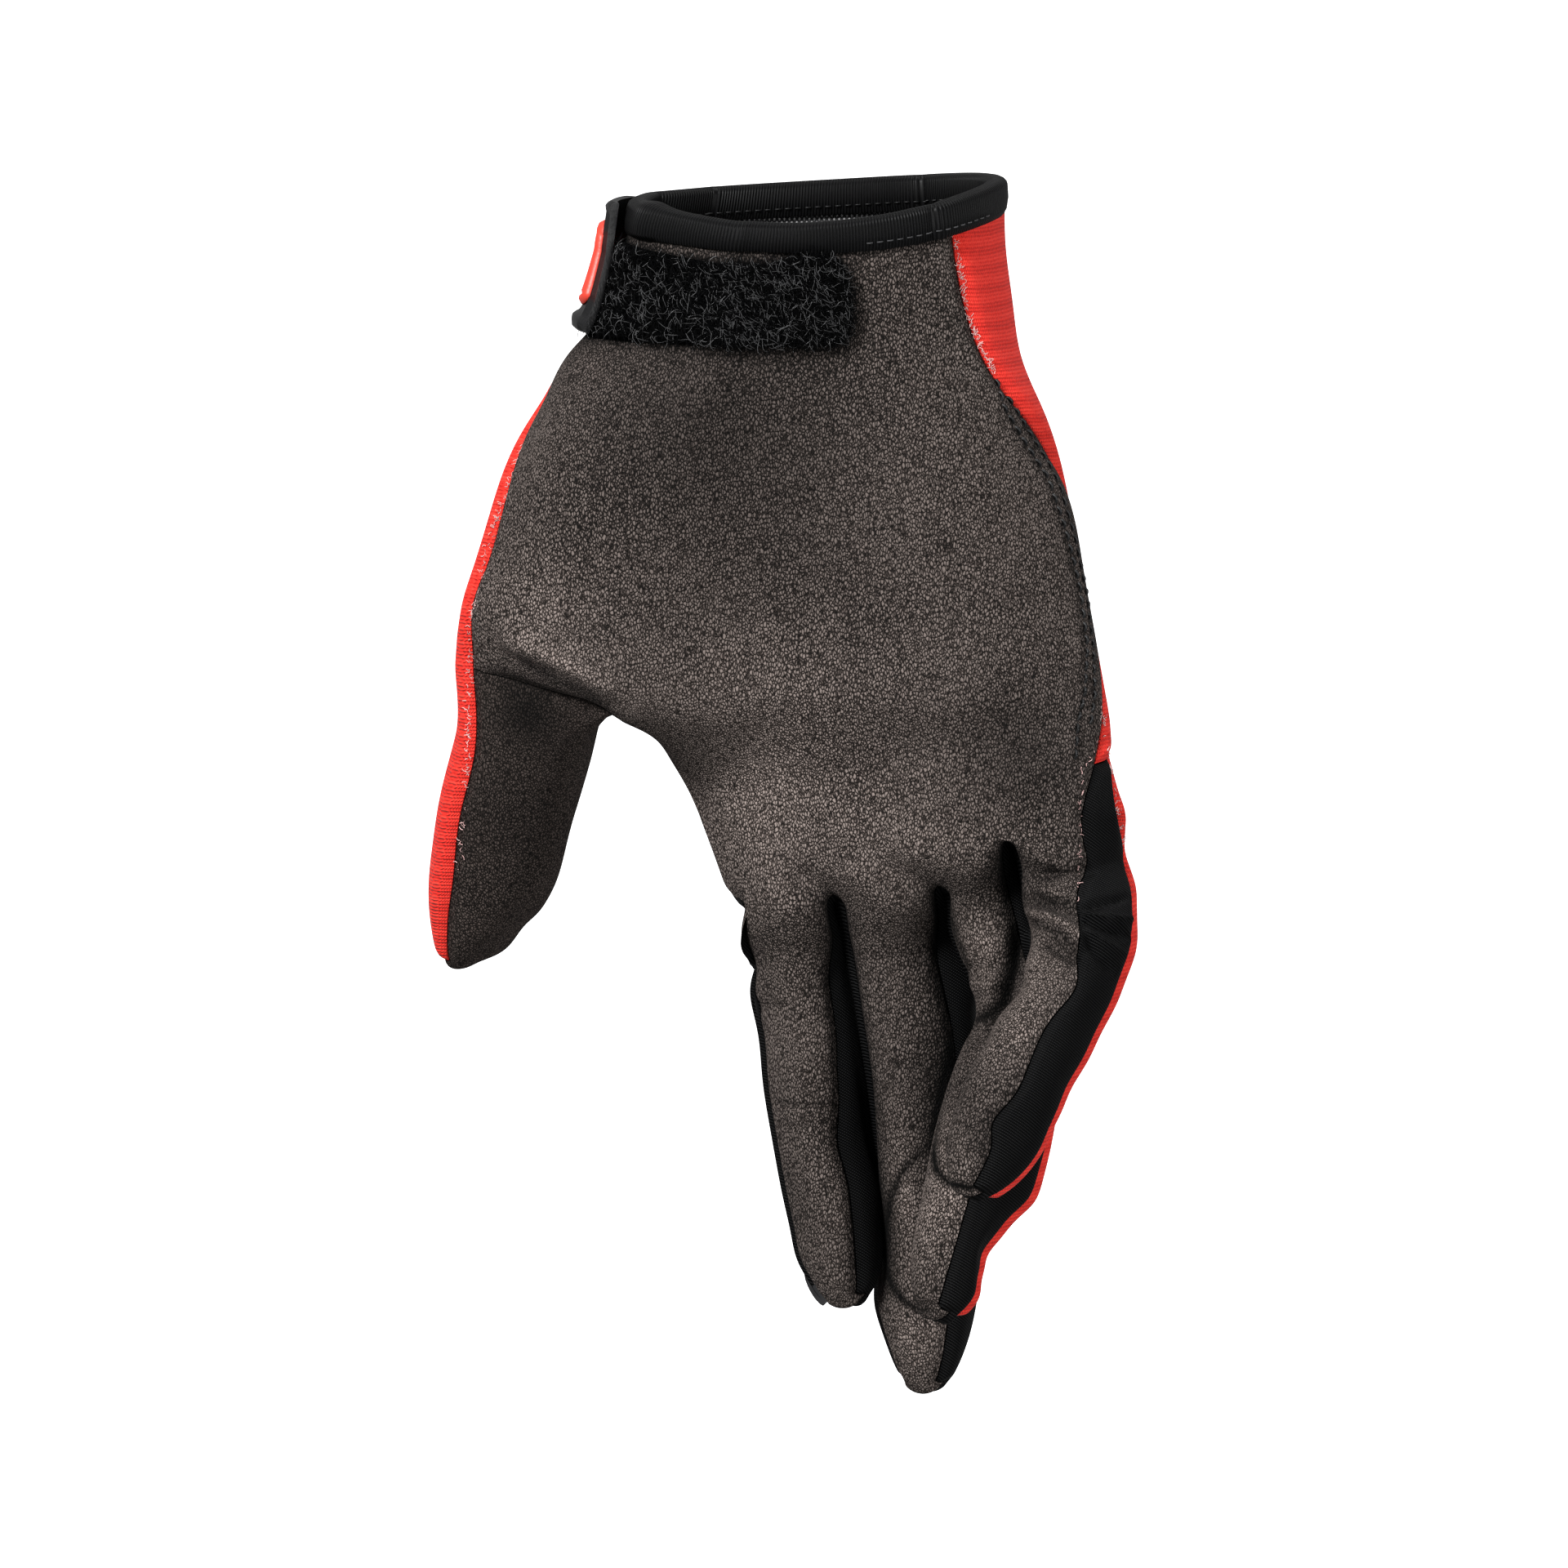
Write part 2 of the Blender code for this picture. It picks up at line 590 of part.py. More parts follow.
def cuff_rows(shell, rows):
    """Rings of the shell's vertices from the cuff edge down, each in order round the wrist."""
    edge_loop = {vertex for edge in shell.edges if len(edge.link_faces) == 1 for vertex in edge.verts}
    first = max(edge_loop, key=lambda vertex: vertex.co.x)
    ring = [first]
    while True:
        following = [edge.other_vert(ring[-1]) for edge in ring[-1].link_edges if len(edge.link_faces) == 1]
        following = [vertex for vertex in following if len(ring) < 2 or vertex is not ring[-2]]
        step = max(following, key=lambda vertex: vertex.co.y) if len(ring) == 1 else following[0]
        if step is first:
            break
        ring.append(step)
    result = [ring]
    above = {vertex: None for vertex in ring}
    for _ in range(rows):
        lower = []
        for vertex in result[-1]:
            if above[vertex] is None:
                ways = [edge for edge in vertex.link_edges if len(edge.link_faces) == 2]
            else:
                used = {face for edge in vertex.link_edges if edge.other_vert(vertex) is above[vertex]
                        for face in edge.link_faces}
                ways = [edge for edge in vertex.link_edges if not used.intersection(edge.link_faces)]
            lower.append(ways[0].other_vert(vertex))
        above = dict(zip(lower, result[-1]))
        result.append(lower)
    return result


def swept_band(name, profiles, material):
    """A closed band whose cross-section is given at each place round the wrist."""
    size = len(profiles[0])
    points = [point for profile in profiles for point in profile]
    faces = []
    for place in range(len(profiles)):
        ahead = (place + 1) % len(profiles)
        for corner in range(size):
            following = (corner + 1) % size
            faces.append((place * size + corner, ahead * size + corner,
                          ahead * size + following, place * size + following))
    return add_object(name, points, faces, material)


def outward(vertex):
    level = Vector((vertex.normal.x, vertex.normal.y, 0.0))
    return level.normalized()


def column_length(column):
    return sum((lower.co - upper.co).length for upper, lower in zip(column, column[1:]))


def along_column(column, distance):
    """The place and the normal at a distance down one column of vertices from the cuff edge."""
    for upper, lower in zip(column, column[1:]):
        length = (lower.co - upper.co).length
        if distance <= length:
            share = distance / length
            return upper.co.lerp(lower.co, share), upper.normal.lerp(lower.normal, share).normalized()
        distance -= length
    return column[-1].co, column[-1].normal


def cuff_binding(rows):
    """The band folded over the cuff edge: an upside-down U round the panels and the lining."""
    stack = PANEL_WALL + GAP + LINING_WALL
    outer = GAP + BINDING_WALL
    inner = stack + GAP + BINDING_WALL
    leg = BINDING_HEIGHT - BINDING_WALL
    crown = GAP + BINDING_WALL
    profiles = []
    for top, below in zip(rows[0], rows[1]):
        out = outward(top)
        down = (below.co - top.co).normalized()

        def at(across, drop):
            return top.co + out * across + down * drop

        profiles.append([at(outer, leg), at(outer, 0.0), at(-(inner - outer) * CROWN_START, -crown),
                         at(-(inner - outer) * CROWN_END, -crown), at(-inner, 0.0), at(-inner, leg),
                         at(-stack - GAP, leg), at(-stack - GAP, -GAP), at(GAP, -GAP), at(GAP, leg)])
    return swept_band("cuff_binding", profiles, BLACK_BINDING)


def cuff_lining(rows):
    """The lining inside the cuff, from under the binding down into the wrist."""
    near = PANEL_WALL + GAP
    far = near + LINING_WALL
    depths = [max(column_length(column[:count + 1]) for column in zip(*rows)) for count in range(len(rows))]
    whole = [count for count, depth in enumerate(depths) if depth < LINING_HEIGHT]
    profiles = []
    for column in zip(*rows):
        levels = [(column[count].co, column[count].normal) for count in whole]
        levels.append(along_column(column, LINING_HEIGHT))
        face_out = [place - normal * near for place, normal in levels]
        face_in = [place - normal * far for place, normal in levels]
        profiles.append(face_out[::-1] + face_in)
    return swept_band("cuff_lining", profiles, DARK_MESH)


class Wrist:
    """The shell's outside near the cuff, read along its own columns so that what lies on it fits."""

    def __init__(self, rows):
        self.columns = list(zip(*rows))
        tops = [column[0].co for column in self.columns]
        self.angles = [math.degrees(math.atan2(top.y, top.x)) % 360.0 for top in tops]
        if self.angles[0] > 180.0:
            self.angles[0] -= 360.0

    def column_at(self, degrees):
        """The column at an angle round the wrist: a whole one where one is close, else with a fraction."""
        for index, (near, far) in enumerate(zip(self.angles, self.angles[1:])):
            if near <= degrees <= far:
                share = (degrees - near) / (far - near)
                return index + (share if COLUMN_CATCH < share < 1.0 - COLUMN_CATCH else float(round(share)))
        return len(self.angles) - 1.0

    def stations(self, start_degrees, end_degrees):
        """The two end columns and all whole ones between them."""
        start = self.column_at(start_degrees)
        end = self.column_at(end_degrees)
        whole = [column for column in range(len(self.columns)) if start < column < end]
        return [start, *whole, end]

    def on_column(self, index, height):
        column = self.columns[index]
        if height >= column[0].co.z:
            return Vector((column[0].co.x, column[0].co.y, height)), column[0].normal
        for upper, lower in zip(column, column[1:]):
            if height >= lower.co.z:
                share = (height - upper.co.z) / (lower.co.z - upper.co.z)
                return upper.co.lerp(lower.co, share), upper.normal.lerp(lower.normal, share)
        return column[-1].co, column[-1].normal

    def at(self, column, height):
        """The place and the normal at a column and a height."""
        index = min(int(column), len(self.columns) - 2)
        near_place, near_normal = self.on_column(index, height)
        far_place, far_normal = self.on_column(index + 1, height)
        share = column - index
        return near_place.lerp(far_place, share), near_normal.lerp(far_normal, share).normalized()


def plate(name, columns, material):
    """A bent plate from columns of (inner, outer) points."""
    rows = len(columns[0])
    points = [pair[side] for side in (0, 1) for column in columns for pair in column]
    count = len(columns) * rows
    faces = []

    def number(column, row):
        return column * rows + row

    for column in range(len(columns) - 1):
        for row in range(rows - 1):
            quad = (number(column, row), number(column, row + 1), number(column + 1, row + 1),
                    number(column + 1, row))
            faces.append(quad)
            faces.append(tuple(corner + count for corner in reversed(quad)))
    rim = [number(column, 0) for column in range(len(columns))]
    rim += [number(len(columns) - 1, row) for row in range(1, rows)]
    rim += [number(column, rows - 1) for column in range(len(columns) - 2, -1, -1)]
    rim += [number(0, row) for row in range(rows - 2, 0, -1)]
    for start, end in zip(rim, rim[1:] + rim[:1]):
        faces.append((start, end, end + count, start + count))
    return add_object(name, points, faces, material)


def loop_patch(wrist):
    """The loop tape on the palm, rounded at its right end, with its left end under the closure tab."""
    stations = wrist.stations(LOOP_LEFT_DEG, LOOP_RIGHT_DEG)
    last = stations[-1]
    radius = Vector(wrist.at(last, -LOOP_TOP)[0][:2]).length
    corner_columns = LOOP_CORNER / radius / math.radians(360.0 / len(wrist.columns))
    whole = [station for station in stations if station < last - corner_columns]
    stations = whole + [last - corner_columns * share for share in LOOP_CORNER_SHARES]
    columns = []
    for station in stations:
        beyond = max(0.0, 1.0 - (last - station) / corner_columns)
        inset = LOOP_CORNER * (1.0 - math.sqrt(1.0 - beyond ** 2))
        points = []
        for row in range(PLATE_ROWS + 1):
            height = mix(-LOOP_TOP - inset, -LOOP_TOP - LOOP_HEIGHT + inset, row / PLATE_ROWS)
            place, normal = wrist.at(station, height)
            points.append((place + normal * GAP, place + normal * (GAP + LOOP_THICKNESS)))
        columns.append(points)
    return plate("loop_patch", columns[::-1], LOOP_FUZZ)


def smooth_step(value):
    value = min(1.0, max(0.0, value))
    return value * value * (3.0 - 2.0 * value)


def tab_lift(wrist, station, height):
    """How far the tab stands off the wrist, because it passes over the binding and its end over the tape."""
    index = min(int(station), len(wrist.angles) - 2)
    ramp_start = LOOP_LEFT_DEG - TAB_RAMP_LEAD_DEG
    near, far = [smooth_step((angle - ramp_start) / TAB_RAMP_DEG) for angle in wrist.angles[index:index + 2]]
    over_tape = mix(near, far, station - index) * (LOOP_THICKNESS + GAP)
    binding_foot = -CUFF_EDGE_DROP - BINDING_HEIGHT
    over_binding = smooth_step((height - binding_foot + TAB_RAMP) / TAB_RAMP) * (BINDING_WALL + GAP)
    return GAP + max(over_tape, over_binding)


def over_tab(wrist, station, share, above):
    """A point over the tab's face at a share of its height, read between the tab's own rows."""
    upper, lower = next(pair for pair in zip(TAB_ROWS, TAB_ROWS[1:]) if share <= pair[1])
    ends = []
    for row in (upper, lower):
        height = -TAB_TOP - TAB_HEIGHT * row
        place, normal = wrist.at(station, height)
        ends.append(place + normal * (tab_lift(wrist, station, height) + TAB_THICKNESS + above))
    return ends[0].lerp(ends[1], (share - upper) / (lower - upper))


def closure_tab(wrist):
    """The tab round the thumb side of the wrist, with a raised rim along its edges."""
    stations = wrist.stations(TAB_BACK_DEG, TAB_FRONT_DEG)
    rim_starts = stations[-1] - TAB_RIM_COLUMNS
    stations[-1:-1] = [rim_starts - TAB_RIM_COLUMNS / 2.0, rim_starts]
    columns = []
    for station in sorted(stations):
        at_end = station >= rim_starts
        points = []
        for share in TAB_ROWS:
            height = -TAB_TOP - TAB_HEIGHT * share
            place, normal = wrist.at(station, height)
            at_edge = share in (TAB_ROWS[1], TAB_ROWS[-2])
            thickness = TAB_THICKNESS + (TAB_RIM if at_end or at_edge else 0.0)
            lift = tab_lift(wrist, station, height)
            points.append((place + normal * lift, place + normal * (lift + thickness)))
        columns.append(points)
    return plate("closure_tab", columns[::-1], BLACK_MOULDED)


def tab_patch(wrist):
    """The rubber patch on the tab."""
    stations = wrist.stations(PATCH_BACK_DEG, PATCH_FRONT_DEG)
    columns = []
    for station in stations:
        share = (station - stations[0]) / (stations[-1] - stations[0])
        half = (0.5 - PATCH_MARGIN / TAB_HEIGHT) * (1.0 - PATCH_TAPER * abs(2.0 * share - 1.0) ** 4)
        points = []
        for row in range(PLATE_ROWS + 1):
            height_share = mix(0.5 - half, 0.5 + half, row / PLATE_ROWS)
            points.append((over_tab(wrist, station, height_share, GAP),
                           over_tab(wrist, station, height_share, GAP + PATCH_THICKNESS)))
        columns.append(points)
    return plate("tab_patch", columns[::-1], RED_RUBBER)


def main():
    clear_scene()
    cage = build_cage()
    shell = shell_bmesh(*fitted_shell(cage))
    cloths = {"palm_panel": SUEDE, "thumb_panel": SUEDE, "back_panel": RED_KNIT}
    for name in PANELS:
        panel_solid(shell, name, cloths.get(name, BLACK_STRETCH))
    rows = cuff_rows(shell, 5)
    cuff_binding(rows)
    cuff_lining(rows)
    wrist = Wrist(rows)
    loop_patch(wrist)
    closure_tab(wrist)
    tab_patch(wrist)
    shell.free()


main()
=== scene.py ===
"""Looks of the motocross glove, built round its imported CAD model.

The glove's skin is made by the same sections and rings as the CAD's, only finer. It is then given its folds
and seams and cut into panels. The cuff, the closure, the stitches and the fuzz are laid on that skin.
Lengths are in metres. Places on the photograph are in its pixels, in a frame of 1920 by 1920.
"""
import math

import bpy
import numpy as np
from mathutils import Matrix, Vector
from mathutils.bvhtree import BVHTree
from mathutils.kdtree import KDTree

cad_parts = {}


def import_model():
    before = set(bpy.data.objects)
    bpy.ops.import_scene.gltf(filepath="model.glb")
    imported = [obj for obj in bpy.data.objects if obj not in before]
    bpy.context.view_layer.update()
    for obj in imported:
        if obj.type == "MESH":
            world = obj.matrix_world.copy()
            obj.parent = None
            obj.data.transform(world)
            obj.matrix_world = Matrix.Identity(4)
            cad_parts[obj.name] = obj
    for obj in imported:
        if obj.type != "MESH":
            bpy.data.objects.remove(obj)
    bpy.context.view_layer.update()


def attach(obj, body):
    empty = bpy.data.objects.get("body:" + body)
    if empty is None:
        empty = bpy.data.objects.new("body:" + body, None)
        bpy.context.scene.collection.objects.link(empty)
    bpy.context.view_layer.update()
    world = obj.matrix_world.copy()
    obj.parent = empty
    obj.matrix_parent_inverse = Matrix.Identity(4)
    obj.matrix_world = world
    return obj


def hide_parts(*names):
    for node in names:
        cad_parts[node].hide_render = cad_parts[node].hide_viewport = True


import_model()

# Camera, as measured from the photograph
PHOTO_SIZE = 1920
CAMERA_PLACE = Vector((-0.0041, -0.86978, 0.052466))
CAMERA_TARGET = Vector((-0.0041, 0.0, -0.1009))
CAMERA_LENS = 120.0
CAMERA_SENSOR = 36.0
METRES_PER_PIXEL = 0.000138

# Overall sizes that the tables' shares refer to
HAND_WIDTH = 0.100
HAND_LENGTH = 0.200
HAND_DEPTH = 0.050
FINGER_WIDTH = 0.0180
FINGER_DEPTH = 0.0160
THUMB_WIDTH = 0.0230
THUMB_DEPTH = 0.0200

# Length of each finger beyond its root, and of the thumb
INDEX_LENGTH = 0.0745
MIDDLE_LENGTH = 0.0915
RING_LENGTH = 0.0830
PINKY_LENGTH = 0.0660
THUMB_LENGTH = 0.0570

# Fineness of the skin and of the lining, and of the cage's fit to the sections
SKIN_LEVEL = 4
LINER_LEVEL = 3
FIT_LEVEL = 2
FIT_ROUNDS = 4

# Panels' edges and seams, the lining's depth and the swell of the knit
PANEL_EDGE = 0.00012
PANEL_RIM = 0.0010
SEAM_DEPTH = 0.00075
SEAM_WIDTH = 0.0013
LINER_DEPTH = 0.0011
BACK_SWELL = 0.0003

# Rounds of smoothing where a part or a panel fades out, how soon a fold, and a line of painted shade and
# highlight, fades towards the outline, and the share of a line, one over the number, over which it fades in
PART_BLUR = 20
PANEL_BLUR = 8
FOLD_FACING = 2.0
FOLD_ENDS = 5.0
PAINTED_LIGHT_FACING = 4.0
PAINTED_LIGHT_ENDS = 8.0

# Skin's sections. PAD_REACH is how far out from the palm's middle its pads are highest, BEND_SHARE the share
# of a finger over which a bend is eased, and SIDE_MARGIN how near the seams of a gusset its middle may come.
SECTION_POWER = 2.3
PAD_REACH = 0.6
BEND_SHARE = 0.04
SIDE_MARGIN = 0.3

# How many places go once round a section, and the least length that a vector is divided by
TURN = 4.0
TINY = 1e-12

# Angle between two faces past which their edge is drawn sharp
SHARP_DEG = 65.0

# Cuff, closure tab and loop tape, as in the CAD
GAP = 0.0003
BINDING_HEIGHT = 0.0055
BINDING_WALL = 0.0010
CUFF_EDGE_DROP = 0.0055
LOOP_LEFT_DEG = 190.0
LOOP_RIGHT_DEG = 285.0
LOOP_HEIGHT = 0.0150
LOOP_THICKNESS = 0.0013
LOOP_TOP = 0.0098
LOOP_CORNER = 0.0045
TAB_HEIGHT = 0.0215
TAB_TOP = 0.0035
TAB_THICKNESS = 0.0018
TAB_FRONT_DEG = 197.0
TAB_BACK_DEG = 100.0
TAB_RAMP = 0.0030
TAB_RAMP_DEG = 10.0
TAB_RAMP_LEAD_DEG = 45.0
PATCH_THICKNESS = 0.0009
PATCH_MARGIN = 0.0035
PATCH_FRONT_DEG = 193.5
PATCH_BACK_DEG = 157.0

# Sections of the hand from the cuff to the thumb's root. A place across one is -1 at the left outline
# and 1 at the right one, and past 1 or -1 it goes on round the back. x is a share of HAND_WIDTH, z of
# HAND_LENGTH, y and the depths of HAND_DEPTH. split is where the thumb parts from the palm.
SECTION_COLUMNS = ("left_x", "left_z", "right_x", "right_z", "left_y", "right_y", "split",
                   "split_drop", "thenar", "hollow", "hypothenar", "back", "front_drop", "back_drop",
                   "left_seam", "left_back", "right_seam", "right_back")
HAND_SECTIONS = (
    (-0.295, -0.0165, 0.325, 0.001, 0.00, 0.00, -0.31, 0.000,
     0.43, 0.45, 0.43, 0.48, 0.022, 0.002, -1.25, -1.60, 0.46, 1.55),
    (-0.358, -0.118, 0.346, -0.112, 0.00, -0.02, -0.30, 0.000,
     0.43, 0.41, 0.42, 0.44, 0.000, 0.000, -1.25, -1.60, 0.54, 1.52),
    (-0.448, -0.184, 0.386, -0.184, 0.00, -0.05, -0.28, 0.000,
     0.46, 0.36, 0.42, 0.40, 0.000, 0.000, -1.10, -1.50, 0.74, 1.48),
    (-0.512, -0.248, 0.426, -0.246, 0.02, -0.08, -0.28, 0.000,
     0.47, 0.33, 0.42, 0.38, 0.000, 0.000, -0.94, -1.42, 1.04, 1.46),
    (-0.552, -0.310, 0.456, -0.307, 0.04, -0.11, -0.28, 0.002,
     0.46, 0.30, 0.41, 0.37, 0.000, 0.000, -0.89, -1.40, 1.10, 1.44),
    (-0.583, -0.366, 0.478, -0.366, 0.06, -0.14, -0.29, 0.006,
     0.43, 0.28, 0.40, 0.36, 0.000, 0.000, -0.86, -1.40, 1.06, 1.34),
    (-0.592, -0.402, 0.494, -0.424, 0.10, -0.20, -0.31, 0.030,
     0.34, 0.28, 0.38, 0.34, 0.000, 0.000, -0.80, -1.40, 0.98, 1.18),
)

# Sections of the palm below the thumb's root, in the same columns. Here the split is the left edge.
PALM_SECTIONS = (
    (-0.225, -0.494, 0.506, -0.470, 0.10, -0.26, -0.84, 0.000,
     0.24, 0.27, 0.37, 0.33, 0.000, 0.000, -0.84, -1.30, 0.76, 0.97),
    (-0.172, -0.552, 0.516, -0.510, 0.11, -0.30, -0.84, 0.000,
     0.24, 0.28, 0.33, 0.32, 0.000, 0.000, -0.84, -1.30, 0.56, 0.86),
)

# Places between and beside the fingers at their roots: front and back, as shares of the hand's sizes
ROOT_COLUMNS = ("front_x", "front_y", "front_z", "back_x", "back_y", "back_z")
FINGER_ROOTS = (
    (-0.112, -0.06, -0.606, -0.118, 0.18, -0.602),
    (0.041, -0.16, -0.595, 0.034, 0.25, -0.580),
    (0.216, -0.28, -0.582, 0.216, 0.22, -0.565),
    (0.329, -0.46, -0.534, 0.372, 0.04, -0.534),
    (0.452, -0.48, -0.562, 0.521, -0.24, -0.550),
)
ROOT_FRONT_SWELL = 0.0045
ROOT_BACK_SWELL = 0.0030
ROOT_RIGHT_SWELL = Vector((0.0015, -0.0010, 0.0))
ROOT_LEFT_SWELL = Vector((-0.0020, 0.0, 0.0))
CROTCH_LIFT = 0.0015
WEB_DROP = 0.0025

# Bones of each finger: share of the finger's length, swing to the right and lean to the palm's side in
# degrees
BONE_COLUMNS = ("share", "swing", "lean")
FINGER_BONES = {
    "index": ((0.34, 9.5, -7.0), (0.34, 7.0, 10.0), (0.32, 11.0, 18.0)),
    "middle": ((0.34, 13.0, 4.0), (0.34, 2.5, -3.0), (0.32, -2.0, 6.0)),
    "ring": ((0.32, 19.0, 20.0), (0.35, -14.5, 12.0), (0.33, -20.0, 19.0)),
    "pinky": ((0.30, 11.0, 40.0), (0.33, -28.0, 28.0), (0.37, -28.0, 18.0)),
    "thumb": ((0.42, -17.0, -18.0), (0.58, -13.0, -20.0)),
}

# Rings along each finger: share of the length, width and depth as shares of the finger's sizes, and the
# turn of the palm side towards the thumb in degrees
RING_COLUMNS = ("along", "width", "depth", "turn")
FINGER_RINGS = {
    "index": ((0.13, 0.96, 1.02, 10), (0.31, 1.05, 1.02, 18), (0.45, 1.01, 1.03, 22),
              (0.62, 0.93, 0.95, 22), (0.75, 0.88, 0.92, 22), (0.88, 0.70, 0.78, 22),
              (0.97, 0.40, 0.42, 22)),
    "middle": ((0.13, 0.97, 1.08, 12), (0.31, 1.12, 1.06, 22), (0.45, 1.06, 1.10, 26),
               (0.62, 1.02, 1.12, 28), (0.75, 1.00, 1.08, 30), (0.88, 0.84, 0.92, 30),
               (0.97, 0.48, 0.50, 30)),
    "ring": ((0.13, 1.00, 1.06, 32), (0.31, 0.97, 1.06, 44), (0.45, 1.00, 1.12, 50),
             (0.62, 1.00, 1.30, 54), (0.75, 0.94, 1.12, 56), (0.88, 0.82, 0.90, 56),
             (0.97, 0.48, 0.50, 56)),
    "pinky": ((0.13, 0.92, 1.12, 42), (0.29, 0.98, 1.22, 48), (0.45, 0.98, 1.24, 50),
              (0.62, 0.98, 1.20, 52), (0.76, 0.94, 1.08, 52), (0.89, 0.78, 0.86, 52),
              (0.97, 0.45, 0.48, 52)),
    "thumb": ((0.20, 1.04, 1.00, -10), (0.42, 1.00, 0.96, -14), (0.62, 0.98, 0.94, -16),
              (0.80, 0.90, 0.84, -16), (0.95, 0.56, 0.52, -16)),
}
RING_DEGREES = (0, 90, 130, 180, 230, 270)

# How far the palm side goes round each finger to its left and its right, in degrees
FRONT_SPANS = {"index": (-76, 50), "middle": (-62, 56), "ring": (-55, 50), "pinky": (-60, 52),
               "thumb": (-56, 50)}

# Columns of the sections: the thumb takes the first two of the front and the last two of the back
FRONT_STEPS = 10
THUMB_STEPS = 2
PALM_STEPS = FRONT_STEPS - THUMB_STEPS
FINGERS = ("index", "middle", "ring", "pinky")
LENGTHS = {"index": INDEX_LENGTH, "middle": MIDDLE_LENGTH, "ring": RING_LENGTH, "pinky": PINKY_LENGTH,
           "thumb": THUMB_LENGTH}
SIDE_GUSSETS = {"index": ("index_outer_gusset", "index_middle_gusset"),
                "middle": ("index_middle_gusset", "middle_ring_gusset"),
                "ring": ("middle_ring_gusset", "ring_pinky_gusset"),
                "pinky": ("ring_pinky_gusset", "pinky_outer_gusset")}
PARTS = ("hand", "thumb", "index", "middle", "ring", "pinky")
PANELS = ("palm_panel", "thumb_panel", "back_panel", "index_outer_gusset", "index_middle_gusset",
          "middle_ring_gusset", "ring_pinky_gusset", "pinky_outer_gusset")

# Folds of the cloth on the photograph: a line of pixels, its half width in pixels, its height in millimetres
# (below zero for a dent) and the part of the hand that it shapes
FOLD_COLUMNS = ("line", "width", "height", "part")
FOLDS = (
    (((600, 812), (650, 835), (700, 860), (740, 885)), 26, -3.4, "thumb"),
    (((612, 775), (650, 792), (700, 815), (755, 848)), 14, 2.0, "hand"),
    (((560, 740), (620, 745), (690, 775)), 38, 1.2, "hand"),
    (((1250, 1114), (1290, 1126), (1318, 1142), (1328, 1162)), 7, 2.2, "pinky"),
    (((1275, 1147), (1322, 1176)), 9, -1.8, "pinky"),
    (((1255, 1096), (1300, 1110), (1322, 1110)), 9, -1.8, "pinky"),
    (((1322, 1112), (1385, 1098)), 5, -1.1, "pinky"),
    (((1322, 1120), (1390, 1126)), 4, 0.9, "pinky"),
    (((1322, 1124), (1388, 1148)), 5, -1.3, "pinky"),
    (((1326, 1136), (1380, 1172)), 4, 0.8, "pinky"),
    (((1326, 1146), (1366, 1192)), 6, -1.1, "pinky"),
    (((1252, 1135), (1243, 1190), (1225, 1238), (1185, 1274)), 13, -2.6, "ring"),
    (((1240, 1062), (1300, 1072)), 9, -0.4, "pinky"),
    (((1175, 1190), (1235, 1180)), 9, -0.9, "ring"),
    (((1170, 1215), (1225, 1200)), 9, 0.6, "ring"),
    (((910, 1232), (975, 1240)), 9, -0.6, "index"),
    (((945, 1352), (1030, 1362)), 5, -0.5, "index"),
    (((948, 1378), (1025, 1374)), 5, -0.3, "index"),
    (((1070, 1180), (1140, 1172)), 9, -0.4, "middle"),
    (((1080, 1310), (1140, 1300)), 6, -0.4, "middle"),
    (((1085, 1585), (1120, 1600), (1150, 1606)), 7, -0.8, "ring"),
    (((870, 985), (930, 1035), (975, 1075)), 26, 0.8, "hand"),
    (((1000, 960), (1040, 1040), (1075, 1085)), 24, 0.7, "hand"),
    (((1085, 1000), (1130, 1060)), 24, 0.6, "hand"),
    (((900, 900), (1000, 880), (1140, 900)), 30, -0.6, "hand"),
    (((1180, 930), (1230, 1000)), 22, -0.7, "hand"),
)
